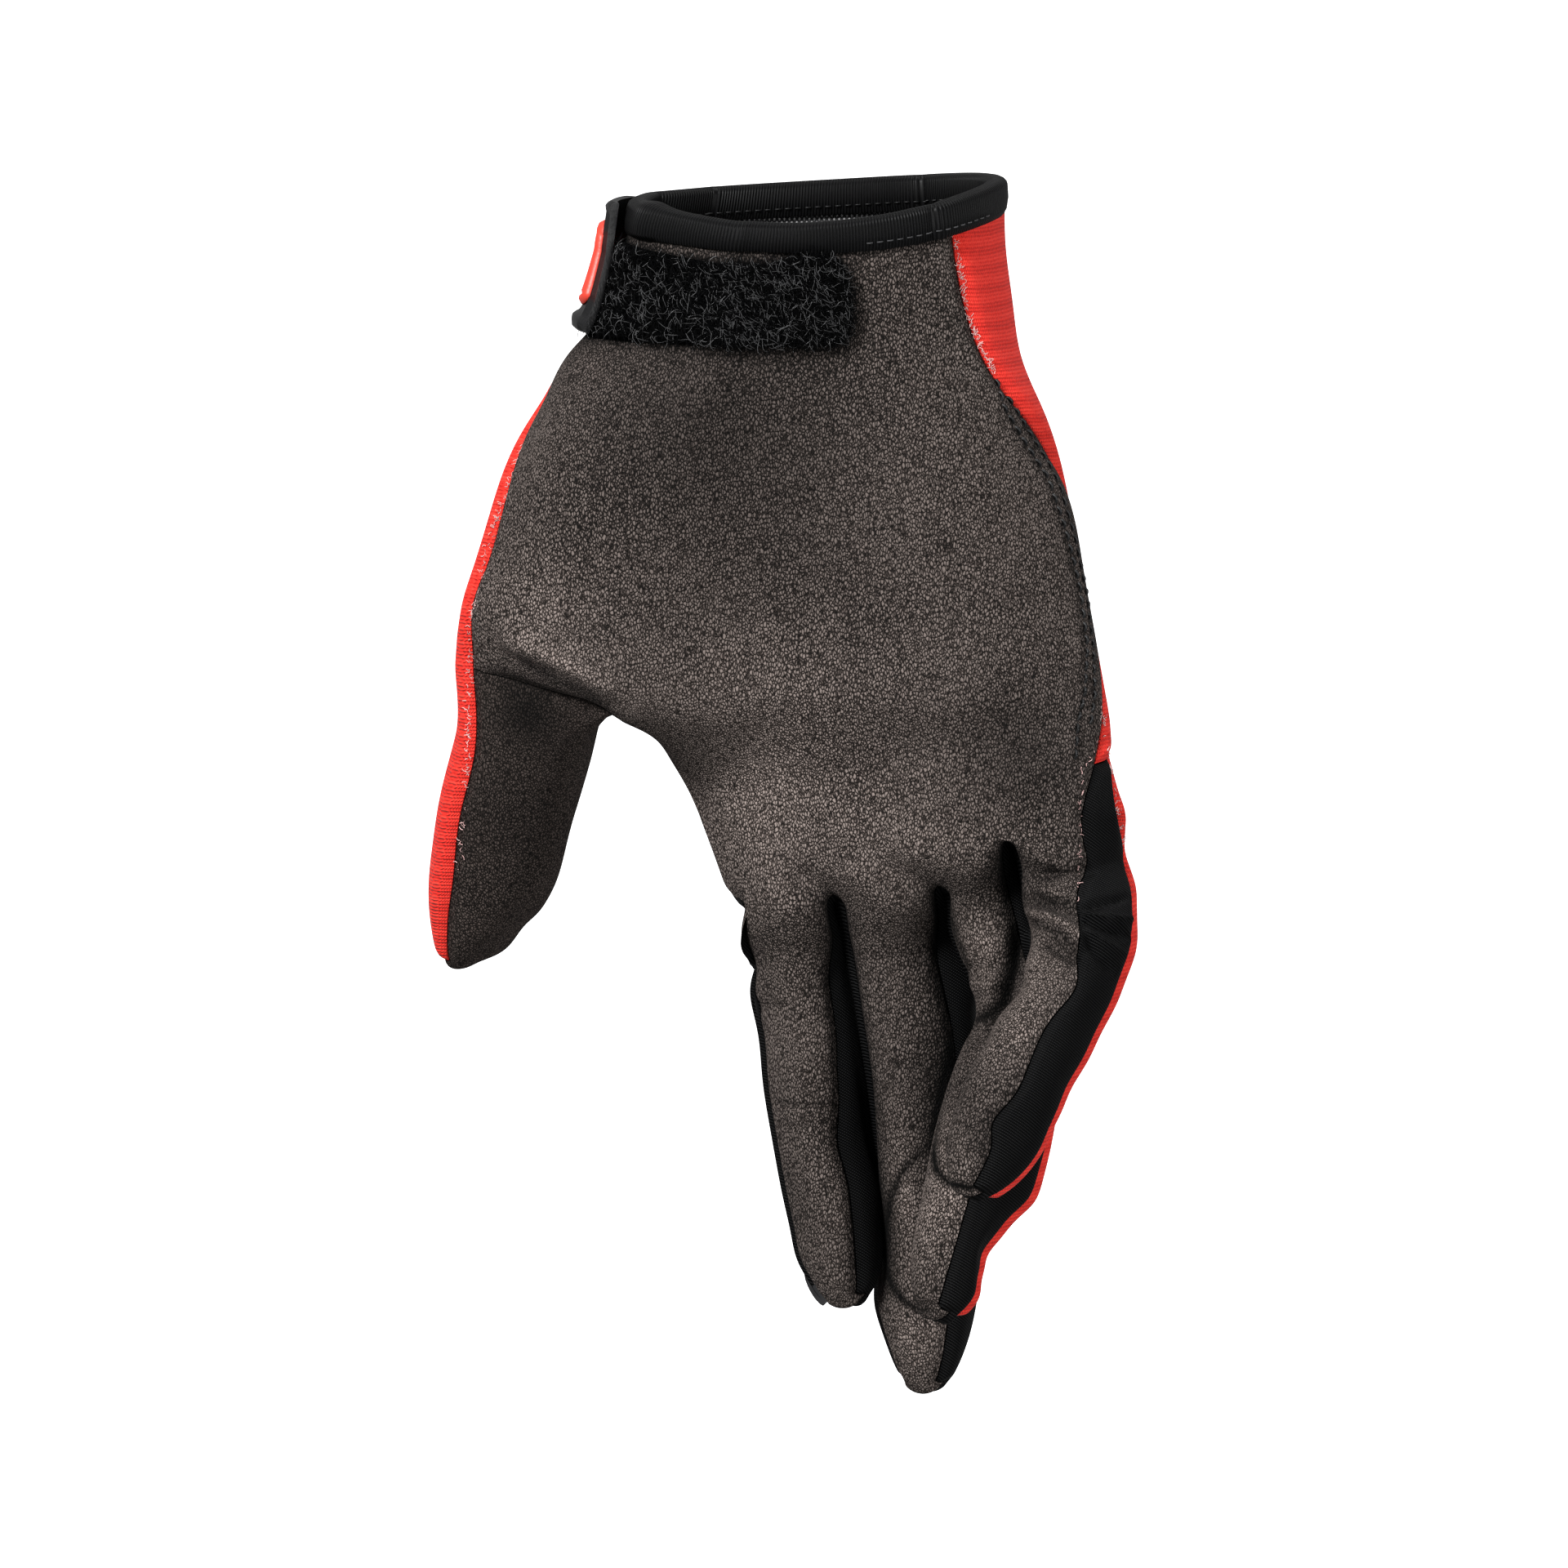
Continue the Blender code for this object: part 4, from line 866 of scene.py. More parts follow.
class Photo:
    """The photograph's frame: turns places in the world to pixels and pixels to rays."""

    def __init__(self):
        self.place = np.array(CAMERA_PLACE)
        self.forward = np.array((CAMERA_TARGET - CAMERA_PLACE).normalized())
        self.right = np.array((1.0, 0.0, 0.0))
        self.up = np.cross(self.right, self.forward)
        self.focal = CAMERA_LENS / CAMERA_SENSOR * PHOTO_SIZE

    def pixels(self, points):
        away = points - self.place
        depth = away @ self.forward
        x = PHOTO_SIZE / 2.0 + self.focal * (away @ self.right) / depth
        y = PHOTO_SIZE / 2.0 - self.focal * (away @ self.up) / depth
        return np.stack([x, y], axis=1), depth

    def ray(self, x, y):
        across = (x - PHOTO_SIZE / 2.0) / self.focal
        above = (PHOTO_SIZE / 2.0 - y) / self.focal
        way = self.forward + self.right * across + self.up * above
        return Vector(self.place), Vector(way).normalized()


def distance_to_line(pixels, line):
    """The distance of each pixel to a line of points, and the share of the line at which it is nearest."""
    best = np.full(len(pixels), np.inf)
    share = np.zeros(len(pixels))
    corners = np.array(line, dtype=float)
    reach = reach_of(corners)
    reach /= reach[-1]
    for index, (start, end) in enumerate(zip(corners, corners[1:])):
        way = end - start
        along = np.clip((pixels - start) @ way / (way @ way), 0.0, 1.0)
        distance = np.linalg.norm(pixels - start - along[:, None] * way, axis=1)
        nearer = distance < best
        best[nearer] = distance[nearer]
        share[nearer] = mix(reach[index], reach[index + 1], along)[nearer]
    return best, share


def along_line(pixels, line, width, ends):
    """1 on a line of pixels and less beside it and at its ends."""
    distance, share = distance_to_line(pixels, line)
    fade = np.clip(np.minimum(share, 1.0 - share) * ends, 0.0, 1.0) ** 0.5
    return np.exp(-(distance / width) ** 2) * fade


class Skin:
    """The glove's outer surface with its folds: points, faces, panels, parts and normals."""

    def __init__(self, cage, points, level, photo):
        self.points, self.faces, self.panels, self.parts = smoothed(points, cage, level)
        self.shares = {}
        self.even(photo)
        self.nudge(photo)
        self.normals = normals_of(self.points, self.faces)
        self.fold(photo)
        self.bare_points = self.points.copy()
        self.bare_normals = normals_of(self.points, self.faces)
        self.sew()
        self.normals = normals_of(self.points, self.faces)
        # Painted shade and highlight along the listed lines, kept for the suede's colour
        self.painted_light = self.paint_light(photo)

    def facing(self, photo, gain):
        """1 where the skin faces the camera, and 0 on its outline and past it."""
        return np.clip(-(self.normals @ photo.forward) * gain, 0.0, 1.0)

    def spread(self, of_faces, rounds):
        """Numbers given for each face, averaged to the points and smoothed over their neighbours."""
        corners = self.faces.ravel()
        count = np.bincount(corners, minlength=len(self.points))
        for _ in range(rounds):
            of_points = np.bincount(corners, np.repeat(of_faces, 4), len(self.points)) / count
            of_faces = of_points[self.faces].mean(axis=1)
        return of_points

    def of_part(self, part):
        """1 on a part of the hand, and less where it meets another."""
        if part not in self.shares:
            self.shares[part] = self.spread((self.parts == PARTS.index(part)).astype(float), PART_BLUR)
        return self.shares[part]

    def inside_panel(self, panel):
        """1 well inside a panel, and 0 on its seams and outside it."""
        share = self.spread((self.panels == PANELS.index(panel)).astype(float), PANEL_BLUR)
        return np.clip(share * 2.0 - 1.0, 0.0, 1.0)

    def even(self, photo):
        """Draw the points of each place in EVENS towards their neighbours' mean."""
        pixels, _ = photo.pixels(self.points)
        for place in rows_of(EVEN_COLUMNS, EVENS):
            away = ((pixels - (place["x"], place["y"])) ** 2).sum(axis=1) / place["radius"] ** 2
            corners = self.faces[away[self.faces].min(axis=1) < EVEN_NEAR]
            used, compact = np.unique(corners, return_inverse=True)
            compact = compact.reshape(corners.shape)
            flat = compact.ravel()
            count = np.bincount(flat, minlength=len(used))[:, None]
            weight = np.where(away[used] > EVEN_REACH, 0.0, np.exp(-away[used] ** 2))[:, None]
            points = self.points[used]
            for _ in range(place["rounds"]):
                centres = np.repeat(points[compact].mean(axis=1), 4, axis=0)
                sums = [np.bincount(flat, centres[:, axis], len(used)) for axis in range(3)]
                points += (np.stack(sums, axis=1) / count - points) * weight
            self.points[used] = points

    def nudge(self, photo):
        """Shift the skin across the photograph as NUDGES says."""
        pixels, depth = photo.pixels(self.points)
        for nudge in rows_of(NUDGE_COLUMNS, NUDGES):
            away = pixels - (nudge["x"], nudge["y"])
            weight = np.exp(-(away ** 2).sum(axis=1) / nudge["radius"] ** 2)
            weight *= sum(self.of_part(part) for part in nudge["parts"].split())
            if nudge["panel"]:
                weight *= self.inside_panel(nudge["panel"])
            scale = (weight * depth / photo.focal)[:, None]
            self.points += scale * (photo.right * nudge["dx"] - photo.up * nudge["dy"])

    def fold(self, photo):
        """Raise and dent the skin along the lines in FOLDS."""
        pixels, _ = photo.pixels(self.points)
        shift = np.zeros(len(self.points))
        for fold in rows_of(FOLD_COLUMNS, FOLDS):
            shape = along_line(pixels, fold["line"], fold["width"], FOLD_ENDS)
            shift += shape * self.of_part(fold["part"]) * fold["height"] / 1000.0
        self.points += self.normals * (shift * self.facing(photo, FOLD_FACING))[:, None]

    def sew(self):
        """Draw the skin in along the seams between panels, and swell the knit between them."""
        lowest = np.full(len(self.points), len(PANELS))
        highest = np.full(len(self.points), -1)
        for corner in range(4):
            np.minimum.at(lowest, self.faces[:, corner], self.panels)
            np.maximum.at(highest, self.faces[:, corner], self.panels)
        seam = np.flatnonzero(lowest != highest)
        tree = KDTree(len(seam))
        for index, point in enumerate(self.points[seam]):
            tree.insert(point, index)
        tree.balance()
        distance = np.array([tree.find(point)[2] for point in self.points])
        depth = SEAM_DEPTH * np.exp(-(distance / SEAM_WIDTH) ** 2)
        swell = BACK_SWELL * self.inside_panel("back_panel")
        self.points += self.normals * (swell - depth)[:, None]

    def paint_light(self, photo):
        """1 at each point, less along lines of painted shade and more along painted highlights."""
        pixels, _ = photo.pixels(self.points)
        facing = self.facing(photo, PAINTED_LIGHT_FACING)
        painted_light = np.ones(len(self.points))
        for shade_and_highlight in rows_of(PAINTED_LIGHT_COLUMNS, PAINTED_LIGHT_LINES):
            shape = along_line(pixels, shade_and_highlight["line"], shade_and_highlight["width"], PAINTED_LIGHT_ENDS)
            painted_light *= 1.0 + shade_and_highlight["change"] * facing * shape
        return np.maximum(painted_light, 0.0)


def new_piece(name, points, faces, material, replaces=(), uv=None, painted_light=None):
    """A mesh piece that rides on the glove's one body. uv holds a pair for each point, painted light a
    number.
    """
    mesh = bpy.data.meshes.new(name)
    points = np.asarray(points, dtype=float).reshape(-1, 3)
    mesh.from_pydata(points, [], [tuple(int(corner) for corner in face) for face in faces])
    mesh.validate()
    mesh.materials.append(material)
    mesh.shade_smooth()
    mesh.set_sharp_from_angle(angle=math.radians(SHARP_DEG))
    if uv is not None:
        corners = np.empty(len(mesh.loops), dtype=np.int64)
        mesh.loops.foreach_get("vertex_index", corners)
        layer = mesh.uv_layers.new(name="cloth")
        layer.data.foreach_set("uv", np.asarray(uv, dtype=float)[corners].ravel())
    # Painted shade and highlight, a number for each point that the suede's colour is multiplied by
    if painted_light is not None:
        mesh.attributes.new("shade_and_highlight", "FLOAT", "POINT").data.foreach_set("value", painted_light)
    piece = bpy.data.objects.new(name, mesh)
    bpy.context.collection.objects.link(piece)
    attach(piece, "root")
    if replaces:
        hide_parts(*replaces)
    return piece


def panel_piece(skin, panel, material, slot):
    """One panel of the skin, with its edge drawn back a little from the seam and turned in."""
    faces = skin.faces[skin.panels == PANELS.index(panel)]
    used, compact = np.unique(faces, return_inverse=True)
    faces = compact.reshape(-1, 4)
    points = skin.points[used]
    normals = skin.normals[used]
    keys = set(zip(faces.ravel().tolist(), np.roll(faces, -1, axis=1).ravel().tolist()))
    edge = sorted((start, end) for start, end in keys if (end, start) not in keys)
    pull = np.zeros_like(points)
    for start, end in edge:
        inward = unit(np.cross(normals[start] + normals[end], points[end] - points[start]))
        pull[start] += inward
        pull[end] += inward
    points += unit(pull) * PANEL_EDGE
    on_edge = sorted({corner for pair in edge for corner in pair})
    below = {corner: len(points) + index for index, corner in enumerate(on_edge)}
    rim = points[on_edge] - normals[on_edge] * PANEL_RIM
    walls = [(end, start, below[start], below[end]) for start, end in edge]
    # Painted shade and highlight of the panel's points, and of its rim from its edge
    painted_light = skin.painted_light[used]
    return new_piece(panel, np.concatenate([points, rim]), faces.tolist() + walls, material, (panel,),
                     painted_light=np.concatenate([painted_light, painted_light[on_edge]]))


class Wrist:
    """The skin near the cuff as a grid: rows from the edge down, and columns round the wrist."""

    def __init__(self, skin):
        near = skin.points[skin.faces].min(axis=1)[:, 2] > WRIST_BOTTOM
        faces = skin.faces[near].tolist()
        touching = {}
        edges = {}
        for index, face in enumerate(faces):
            for start, end in zip(face, face[1:] + face[:1]):
                touching.setdefault(start, set()).add(index)
                edges[(start, end)] = True
        after = {start: end for start, end in edges
                 if (end, start) not in edges and skin.points[start][2] > -CUFF_LOWEST}
        first = max(after, key=lambda corner: skin.points[corner][0])
        ring = [first]
        while after[ring[-1]] != first:
            ring.append(after[ring[-1]])
        if skin.points[ring[1]][1] < skin.points[first][1]:
            ring = [ring[0]] + ring[:0:-1]
        rows = [ring]
        above = [None] * len(ring)
        while skin.points[rows[-1]][:, 2].max() > WRIST_REACH:
            lower = []
            for corner, previous in zip(rows[-1], above):
                own = [face for face in touching[corner] if previous is None or previous not in faces[face]]
                shared = set(faces[own[0]]) & set(faces[own[1]]) - {corner}
                lower.append(shared.pop())
            above = rows[-1]
            rows.append(lower)
        self.points = skin.bare_points[np.array(rows)]
        self.normals = skin.bare_normals[np.array(rows)]
        self.count = len(ring)
        self.degrees = np.degrees(np.arctan2(self.points[0, :, 1], self.points[0, :, 0])) % 360.0
        if self.degrees[0] > 180.0:
            self.degrees[0] -= 360.0
        reach = reach_of(np.concatenate([self.points[0], self.points[0, :1]]))
        self.length = reach[-1]
        self.around = reach[:-1]
        self.pitch = self.length / self.count

    def column_at(self, degrees):
        return float(np.interp(degrees, self.degrees, np.arange(self.count)))

    def degrees_at(self, column):
        return float(np.interp(column, np.arange(self.count), self.degrees))

    def rim(self):
        """For each column the cuff edge's place, and the ways out of the wrist and down along the cloth."""
        tops = self.points[0].copy()
        outs = self.normals[0] * (1.0, 1.0, 0.0)
        downs = np.array([self.down(column, BINDING_REACH) for column in range(self.count)]) - tops
        for values in (tops, outs, downs):
            for _ in range(RIM_ROUNDS):
                values += (np.roll(values, 1, axis=0) + np.roll(values, -1, axis=0) - 2.0 * values) * 0.25
        return tops, unit(outs), unit(downs)

    def binding_leg(self, column):
        """How far the binding reaches down from the cuff edge, which is less over the palm."""
        away = (self.degrees[column] - LOW_BINDING_DEG) / LOW_BINDING_SPREAD_DEG
        return (BINDING_HEIGHT - BINDING_WALL) * (1.0 - LOW_BINDING_SHARE * math.exp(-away * away))

    def column(self, column):
        """The points and the normals down one column, which may have a fraction."""
        near = int(math.floor(column)) % self.count
        far = (near + 1) % self.count
        share = column - math.floor(column)
        points = mix(self.points[:, near], self.points[:, far], share)
        return points, unit(mix(self.normals[:, near], self.normals[:, far], share))

    def at_height(self, column, height):
        """The place and the normal at a height on one column."""
        points, normals = self.column(column)
        falling = -points[:, 2]
        place = read_off(-height, falling, points)
        if -height < falling[0]:
            place[2] = height
        return place, unit(read_off(-height, falling, normals))

    def down(self, column, distance):
        """The place at a distance along the cloth from the cuff edge."""
        points, _ = self.column(column)
        return read_off(distance, reach_of(points), points)


def smooth_step(value):
    """0 up to 0 and 1 from 1 on, with a smooth rise between."""
    value = min(1.0, max(0.0, value))
    return value * value * (3.0 - 2.0 * value)


def cuff_binding(wrist, material):
    """The elastic band folded over the cuff edge, with a rolled end on the thumb's side."""
    profiles = []
    uv = []
    for column, (top, out, down) in enumerate(zip(*wrist.rim())):
        away = (wrist.degrees[column] - ROLL_DEG) / ROLL_SPREAD_DEG
        roll = ROLL_SWELL * math.exp(-away * away)
        near = GAP + BINDING_CLOTH + roll
        far = -CUFF_CLOTH - GAP - BINDING_CLOTH - roll * 0.5
        leg = wrist.binding_leg(column)
        foot = GAP * 0.5
        middle = (near + far) / 2.0
        half = (near - far) / 2.0
        shape = [(foot, leg), (near * OUTER_HEM, leg + BINDING_SAG), (near, leg * LEG_TURN),
                 (near + BINDING_BULGE, leg * LEG_BELLY)]
        for step in range(CROWN_STEPS + 1):
            turn = math.pi * step / CROWN_STEPS
            across = middle + (half + BINDING_INNER_BULGE) * math.cos(turn)
            shape.append((across, -half * CROWN_FLATNESS * math.sin(turn)))
        shape += [(far - BINDING_INNER_BULGE, leg * LEG_BELLY), (far, leg * LEG_TURN),
                  (far * INNER_HEM, leg + BINDING_SAG), (-CUFF_CLOTH, leg), (-CUFF_CLOTH, leg * LEG_CORE),
                  (foot, leg * LEG_CORE)]
        profiles += [top + out * across + down * drop for across, drop in shape]
        uv += [(wrist.around[column], index / len(shape)) for index in range(len(shape))]
    size = len(shape)
    faces = []
    for column in range(wrist.count):
        own = column * size
        ahead = (column + 1) % wrist.count * size
        for corner in range(size):
            following = (corner + 1) % size
            faces.append((own + corner, ahead + corner, ahead + following, own + following))
    return new_piece("cuff_binding", profiles, faces, material, ("cuff_binding",), uv)


def tab_lift(degrees, height):
    """How far the tab stands off the wrist, because it passes over the binding and the tape."""
    ramp_start = LOOP_LEFT_DEG - TAB_RAMP_LEAD_DEG
    over_tape = smooth_step((degrees - ramp_start) / TAB_RAMP_DEG) * (LOOP_THICKNESS + GAP)
    binding_foot = -CUFF_EDGE_DROP - BINDING_HEIGHT
    over_binding = smooth_step((height - binding_foot + TAB_RAMP) / TAB_RAMP) * (BINDING_WALL + GAP)
    puff = BINDING_PUFF * smooth_step(height / TAB_HEIGHT + PUFF_START)
    return GAP + max(over_tape, over_binding + puff)


def plate(name, wrist, stations, material):
    """A bent plate on the wrist, with UVs in metres along it.

    Each of its stations is a list of rows. A row is a column of the wrist, a height, and how far the plate's
    inner and outer sides stand off there.
    """
    inner = []
    outer = []
    for column, height, low, high in (row for station in stations for row in station):
        place, normal = wrist.at_height(column, height)
        inner.append(place + normal * low)
        outer.append(place + normal * high)
    columns = len(stations)
    rows = len(stations[0])
    count = columns * rows
    faces = []
    for column in range(columns - 1):
        for row in range(rows - 1):
            own = column * rows + row
            quad = (own, own + rows, own + rows + 1, own + 1)
            faces.append(quad)
            faces.append(tuple(corner + count for corner in reversed(quad)))
    rim = [column * rows for column in range(columns)]
    rim += [(columns - 1) * rows + row for row in range(1, rows)]
    rim += [column * rows + rows - 1 for column in range(columns - 2, -1, -1)]
    rim += [row for row in range(rows - 2, 0, -1)]
    for start, end in zip(rim, rim[1:] + rim[:1]):
        faces.append((end, start, start + count, end + count))
    grid = np.array(outer).reshape(columns, rows, 3)
    around = reach_of(grid[:, rows // 2])
    fall = reach_of(grid[columns // 2])
    uv = [(way, -drop) for way in around for drop in fall] * 2
    return new_piece(name, outer + inner, faces, material, (name,), uv)


def closure_tab(wrist, material):
    """The tab round the thumb side of the wrist, with a ridged front edge and a raised rim."""
    start = wrist.column_at(TAB_BACK_DEG)
    end = wrist.column_at(TAB_FRONT_DEG)
    stations = []
    for column in np.linspace(start, end, TAB_COLUMNS):
        from_end = (end - column) * wrist.pitch
        ridges = 0.0
        if from_end < TAB_RIDGE_BAND:
            crown = math.sin(math.pi * min(1.0, (from_end + TAB_RIDGE_START) / TAB_RIDGE_BAND))
            grooves = math.cos(from_end / TAB_RIDGE_BAND * TAB_RIDGES * 2.0 * math.pi) - 1.0
            ridges = TAB_RIDGE * crown ** 0.5 + TAB_GROOVE * grooves
        station = []
        for share in np.linspace(0.0, 1.0, TAB_ROWS):
            height = -TAB_TOP - TAB_HEIGHT * share
            lean = TAB_LEAN * (1.0 - share) * (column - start) / (end - start)
            lift = tab_lift(wrist.degrees_at(column), height)
            edge = min(share, 1.0 - share) * TAB_HEIGHT
            rim = TAB_RIM * math.exp(-((edge - TAB_RIM_INSET) / TAB_RIM_WIDTH) ** 2)
            rounding = TAB_ROUNDING * (1.0 - min(1.0, edge / TAB_EDGE)) ** 2
            rounding += TAB_TAPER * math.exp(-from_end / TAB_RIDGE_BAND)
            station.append((column - lean / wrist.pitch, height, lift,
                            lift + TAB_THICKNESS + max(rim, ridges) - rounding))
        stations.append(station)
    return plate("closure_tab", wrist, stations, material)


def tab_patch(wrist, material):
    """The rubber patch on the tab, with soft corners and a sunk line inside its edge."""
    start = wrist.column_at(PATCH_BACK_DEG)
    end = wrist.column_at(PATCH_FRONT_DEG)
    stations = []
    for along in np.linspace(0.0, 1.0, PATCH_COLUMNS):
        column = mix(start, end, along)
        corner = 1.0 - PATCH_CORNER * abs(2.0 * along - 1.0) ** PATCH_CORNER_POWER
        half = (0.5 - PATCH_MARGIN / TAB_HEIGHT) * corner
        station = []
        for share in np.linspace(0.5 - half, 0.5 + half, PATCH_ROWS):
            height = -TAB_TOP - TAB_HEIGHT * share
            lean = TAB_LEAN * (1.0 - share) * along
            base = tab_lift(wrist.degrees_at(column), height) + TAB_THICKNESS - PATCH_SINK
            edge = min((half - abs(share - 0.5)) * TAB_HEIGHT, min(along, 1.0 - along) * PATCH_LENGTH)
            dome = PATCH_THICKNESS * (1.0 - (1.0 - min(1.0, edge / PATCH_DOME)) ** 2)
            groove = PATCH_GROOVE * math.exp(-((edge - PATCH_GROOVE_INSET) / PATCH_GROOVE_WIDTH) ** 2)
            station.append((column - lean / wrist.pitch, height, base, base + PATCH_SINK + dome - groove))
        stations.append(station)
    return plate("tab_patch", wrist, stations, material)


def binding_stitches(wrist, pale, dark):
    """Stitches along the binding: on its outside over the palm, and on its inside over the back."""
    outside = GAP + BINDING_CLOTH + BINDING_STITCH_LIFT
    inside = -CUFF_CLOTH - outside
    pieces = (("binding_stitches_front", FRONT_STITCHES_DEG, outside, 1.0, pale),
              ("binding_stitches_back", BACK_STITCHES_DEG, inside, -1.0, dark))
    tops, outs, downs = wrist.rim()
    for name, degrees, across, facing, material in pieces:
        start, end = [round(wrist.column_at(angle)) for angle in degrees]
        hits = []
        for column in range(start, end):
            drop = wrist.binding_leg(column) * BINDING_STITCH_SHARE
            hits.append((tops[column] + outs[column] * across + downs[column] * drop, outs[column] * facing))
        places = spaced(hits, BINDING_STITCH_PITCH)
        stitches(name, places, BINDING_STITCH_SIZE, material)


def loop_outline(wrist, share):
    """The column at a share of the tape's length, and its top and bottom there."""
    end = wrist.column_at(LOOP_RIGHT_DEG)
    column = mix(wrist.column_at(LOOP_LEFT_DEG), end, share)
    beyond = min(1.0, max(0.0, 1.0 - (end - column) * wrist.pitch / LOOP_CORNER))
    inset = LOOP_CORNER * (1.0 - math.sqrt(1.0 - beyond ** 2))
    under_binding = wrist.column(column)[0][0, 2] - BINDING_HEIGHT - GAP
    top = mix(under_binding, -LOOP_TOP, smooth_step((share - LOOP_LEAVES) / LOOP_FALLS))
    return column, top - inset, -LOOP_TOP - LOOP_HEIGHT + inset


def loop_patch(wrist, material):
    """The backing of the loop tape."""
    low = GAP * LOOP_LIFT
    stations = []
    for share in 1.0 - (1.0 - np.linspace(0.0, 1.0, LOOP_COLUMNS)) ** LOOP_COLUMN_POWER:
        column, top, bottom = loop_outline(wrist, share)
        station = []
        for height in np.linspace(top, bottom, LOOP_ROWS):
            edge = min(top - height, height - bottom)
            rounding = LOOP_THICKNESS * LOOP_ROUNDING * (1.0 - min(1.0, edge / LOOP_EDGE)) ** 2
            station.append((column, height, low, low + LOOP_THICKNESS - rounding))
        stations.append(station)
    return plate("loop_patch", wrist, stations, material)


def tubes(name, paths, radius, material, sides=3):
    """Thin threads as one mesh, each along its path of points."""
    points = []
    faces = []
    first = 0
    for path in paths:
        path = np.asarray(path)
        ways = unit(np.gradient(path, axis=0))
        helper = np.array((0.31, 0.17, 0.94) if abs(ways[0][2]) < 0.9 else (0.94, 0.17, 0.31))
        across = unit(np.cross(ways, helper))
        above = np.cross(ways, across)
        for turn in range(sides):
            angle = 2.0 * math.pi * turn / sides
            points.append(path + (across * math.cos(angle) + above * math.sin(angle)) * radius)
        steps = len(path)
        starts = [first + turn * steps for turn in range(sides)]
        for own, following in zip(starts, starts[1:] + starts[:1]):
            for step in range(steps - 1):
                faces.append((own + step, own + step + 1, following + step + 1, following + step))
        faces.append(tuple(starts))
        faces.append(tuple(start + steps - 1 for start in reversed(starts)))
        first += sides * steps
    return new_piece(name, np.concatenate(points), faces, material, ())


def loop_fuzz(wrist, fibres, material):
    """The curled fibres of the loop tape."""
    random = np.random.default_rng(fibres["seed"])
    paths = []
    for _ in range(fibres["count"]):
        column, top, bottom = loop_outline(wrist, random.uniform(0.0, 1.0))
        fall = random.uniform(bottom + FIBRE_MARGIN, top - FIBRE_MARGIN)
        place, normal = wrist.at_height(column, fall)
        side = unit(np.cross(np.array((0.0, 0.0, 1.0)), normal))
        rise = np.cross(normal, side)
        angle = random.normal(*FIBRE_LEAN)
        way = side * math.cos(angle) + rise * math.sin(angle)
        other = np.cross(normal, way)
        length = random.uniform(*FIBRE_LENGTHS)
        curl = random.uniform(-1.0, 1.0) * length * FIBRE_CURL
        wave = random.uniform(0.0, FIBRE_PHASES)
        arch = random.uniform(*FIBRE_ARCHES) * fibres["height"]
        foot = place + normal * (GAP + LOOP_THICKNESS * FIBRE_FOOT)
        paths.append([foot + normal * arch * math.sin(math.pi * step) + way * length * (step - 0.5)
                      + other * curl * math.sin(FIBRE_WAVES * step + wave)
                      for step in np.linspace(0.0, 1.0, FIBRE_POINTS)])
    return tubes(fibres["name"], paths, fibres["radius"], material)


def on_skin(tree, photo, line):
    """The places and normals of the skin behind a line of pixels."""
    hits = []
    for x, y in line:
        place, way = photo.ray(x, y)
        hit, normal, _, _ = tree.ray_cast(place, way)
        if hit is not None:
            hits.append((np.array(hit), np.array(normal)))
    return hits


def dense_line(line, step=3.0):
    """A line of pixels with points every few pixels."""
    corners = np.array(line, dtype=float)
    reach = reach_of(corners)
    return read_off(np.arange(0.0, reach[-1], step), reach, corners)


def spaced(hits, pitch, skip=0.004):
    """Places at an even pitch along the hits, each with its way along the line and its normal."""
    points = np.array([hit for hit, _ in hits])
    normals = np.array([normal for _, normal in hits])
    keep = np.concatenate([[True], np.linalg.norm(np.diff(points, axis=0), axis=1) < skip])
    points, normals = points[keep], normals[keep]
    reach = reach_of(points)
    places = np.arange(pitch / 2.0, reach[-1], pitch)
    ahead = read_off(places + pitch * 0.3, reach, points)
    behind = read_off(places - pitch * 0.3, reach, points)
    return list(zip(read_off(places, reach, points), unit(ahead - behind),
                    unit(read_off(places, reach, normals))))


def stitches(name, places, size, material):
    """Sewn stitches: a short arched thread at each place."""
    length, width, height = size
    paths = []
    for centre, way, up in places:
        paths.append([centre + way * length * step + up * height * (1.0 - (2.0 * step) ** 2 * STITCH_ARCH)
                      for step in np.linspace(-0.5, 0.5, STITCH_POINTS)])
    return tubes(name, paths, width / 2.0, material, STITCH_SIDES)


def loose_threads(name, places, count, material, seed):
    """Short bits of thread that stand out of a seam."""
    random = np.random.default_rng(seed)
    paths = []
    for _ in range(count):
        centre, way, up = places[random.integers(len(places))]
        side = np.cross(up, way)
        start = centre + way * random.normal(0.0, THREAD_SLIP) + side * random.normal(0.0, THREAD_SPREAD)
        lean = way * random.normal(0.0, 1.0) + side * random.normal(0.0, 1.0)
        lean += up * random.uniform(0.0, THREAD_RISE)
        lean *= random.uniform(0.5, 1.0) * THREAD_LENGTH / np.linalg.norm(lean)
        curl = np.cross(lean, up) * random.uniform(-THREAD_CURL, THREAD_CURL)
        paths.append([start + up * THREAD_LIFT + lean * step + curl * math.sin(math.pi * step)
                      for step in np.linspace(0.0, 1.0, THREAD_POINTS)])
    return tubes(name, paths, THREAD_RADIUS, material)


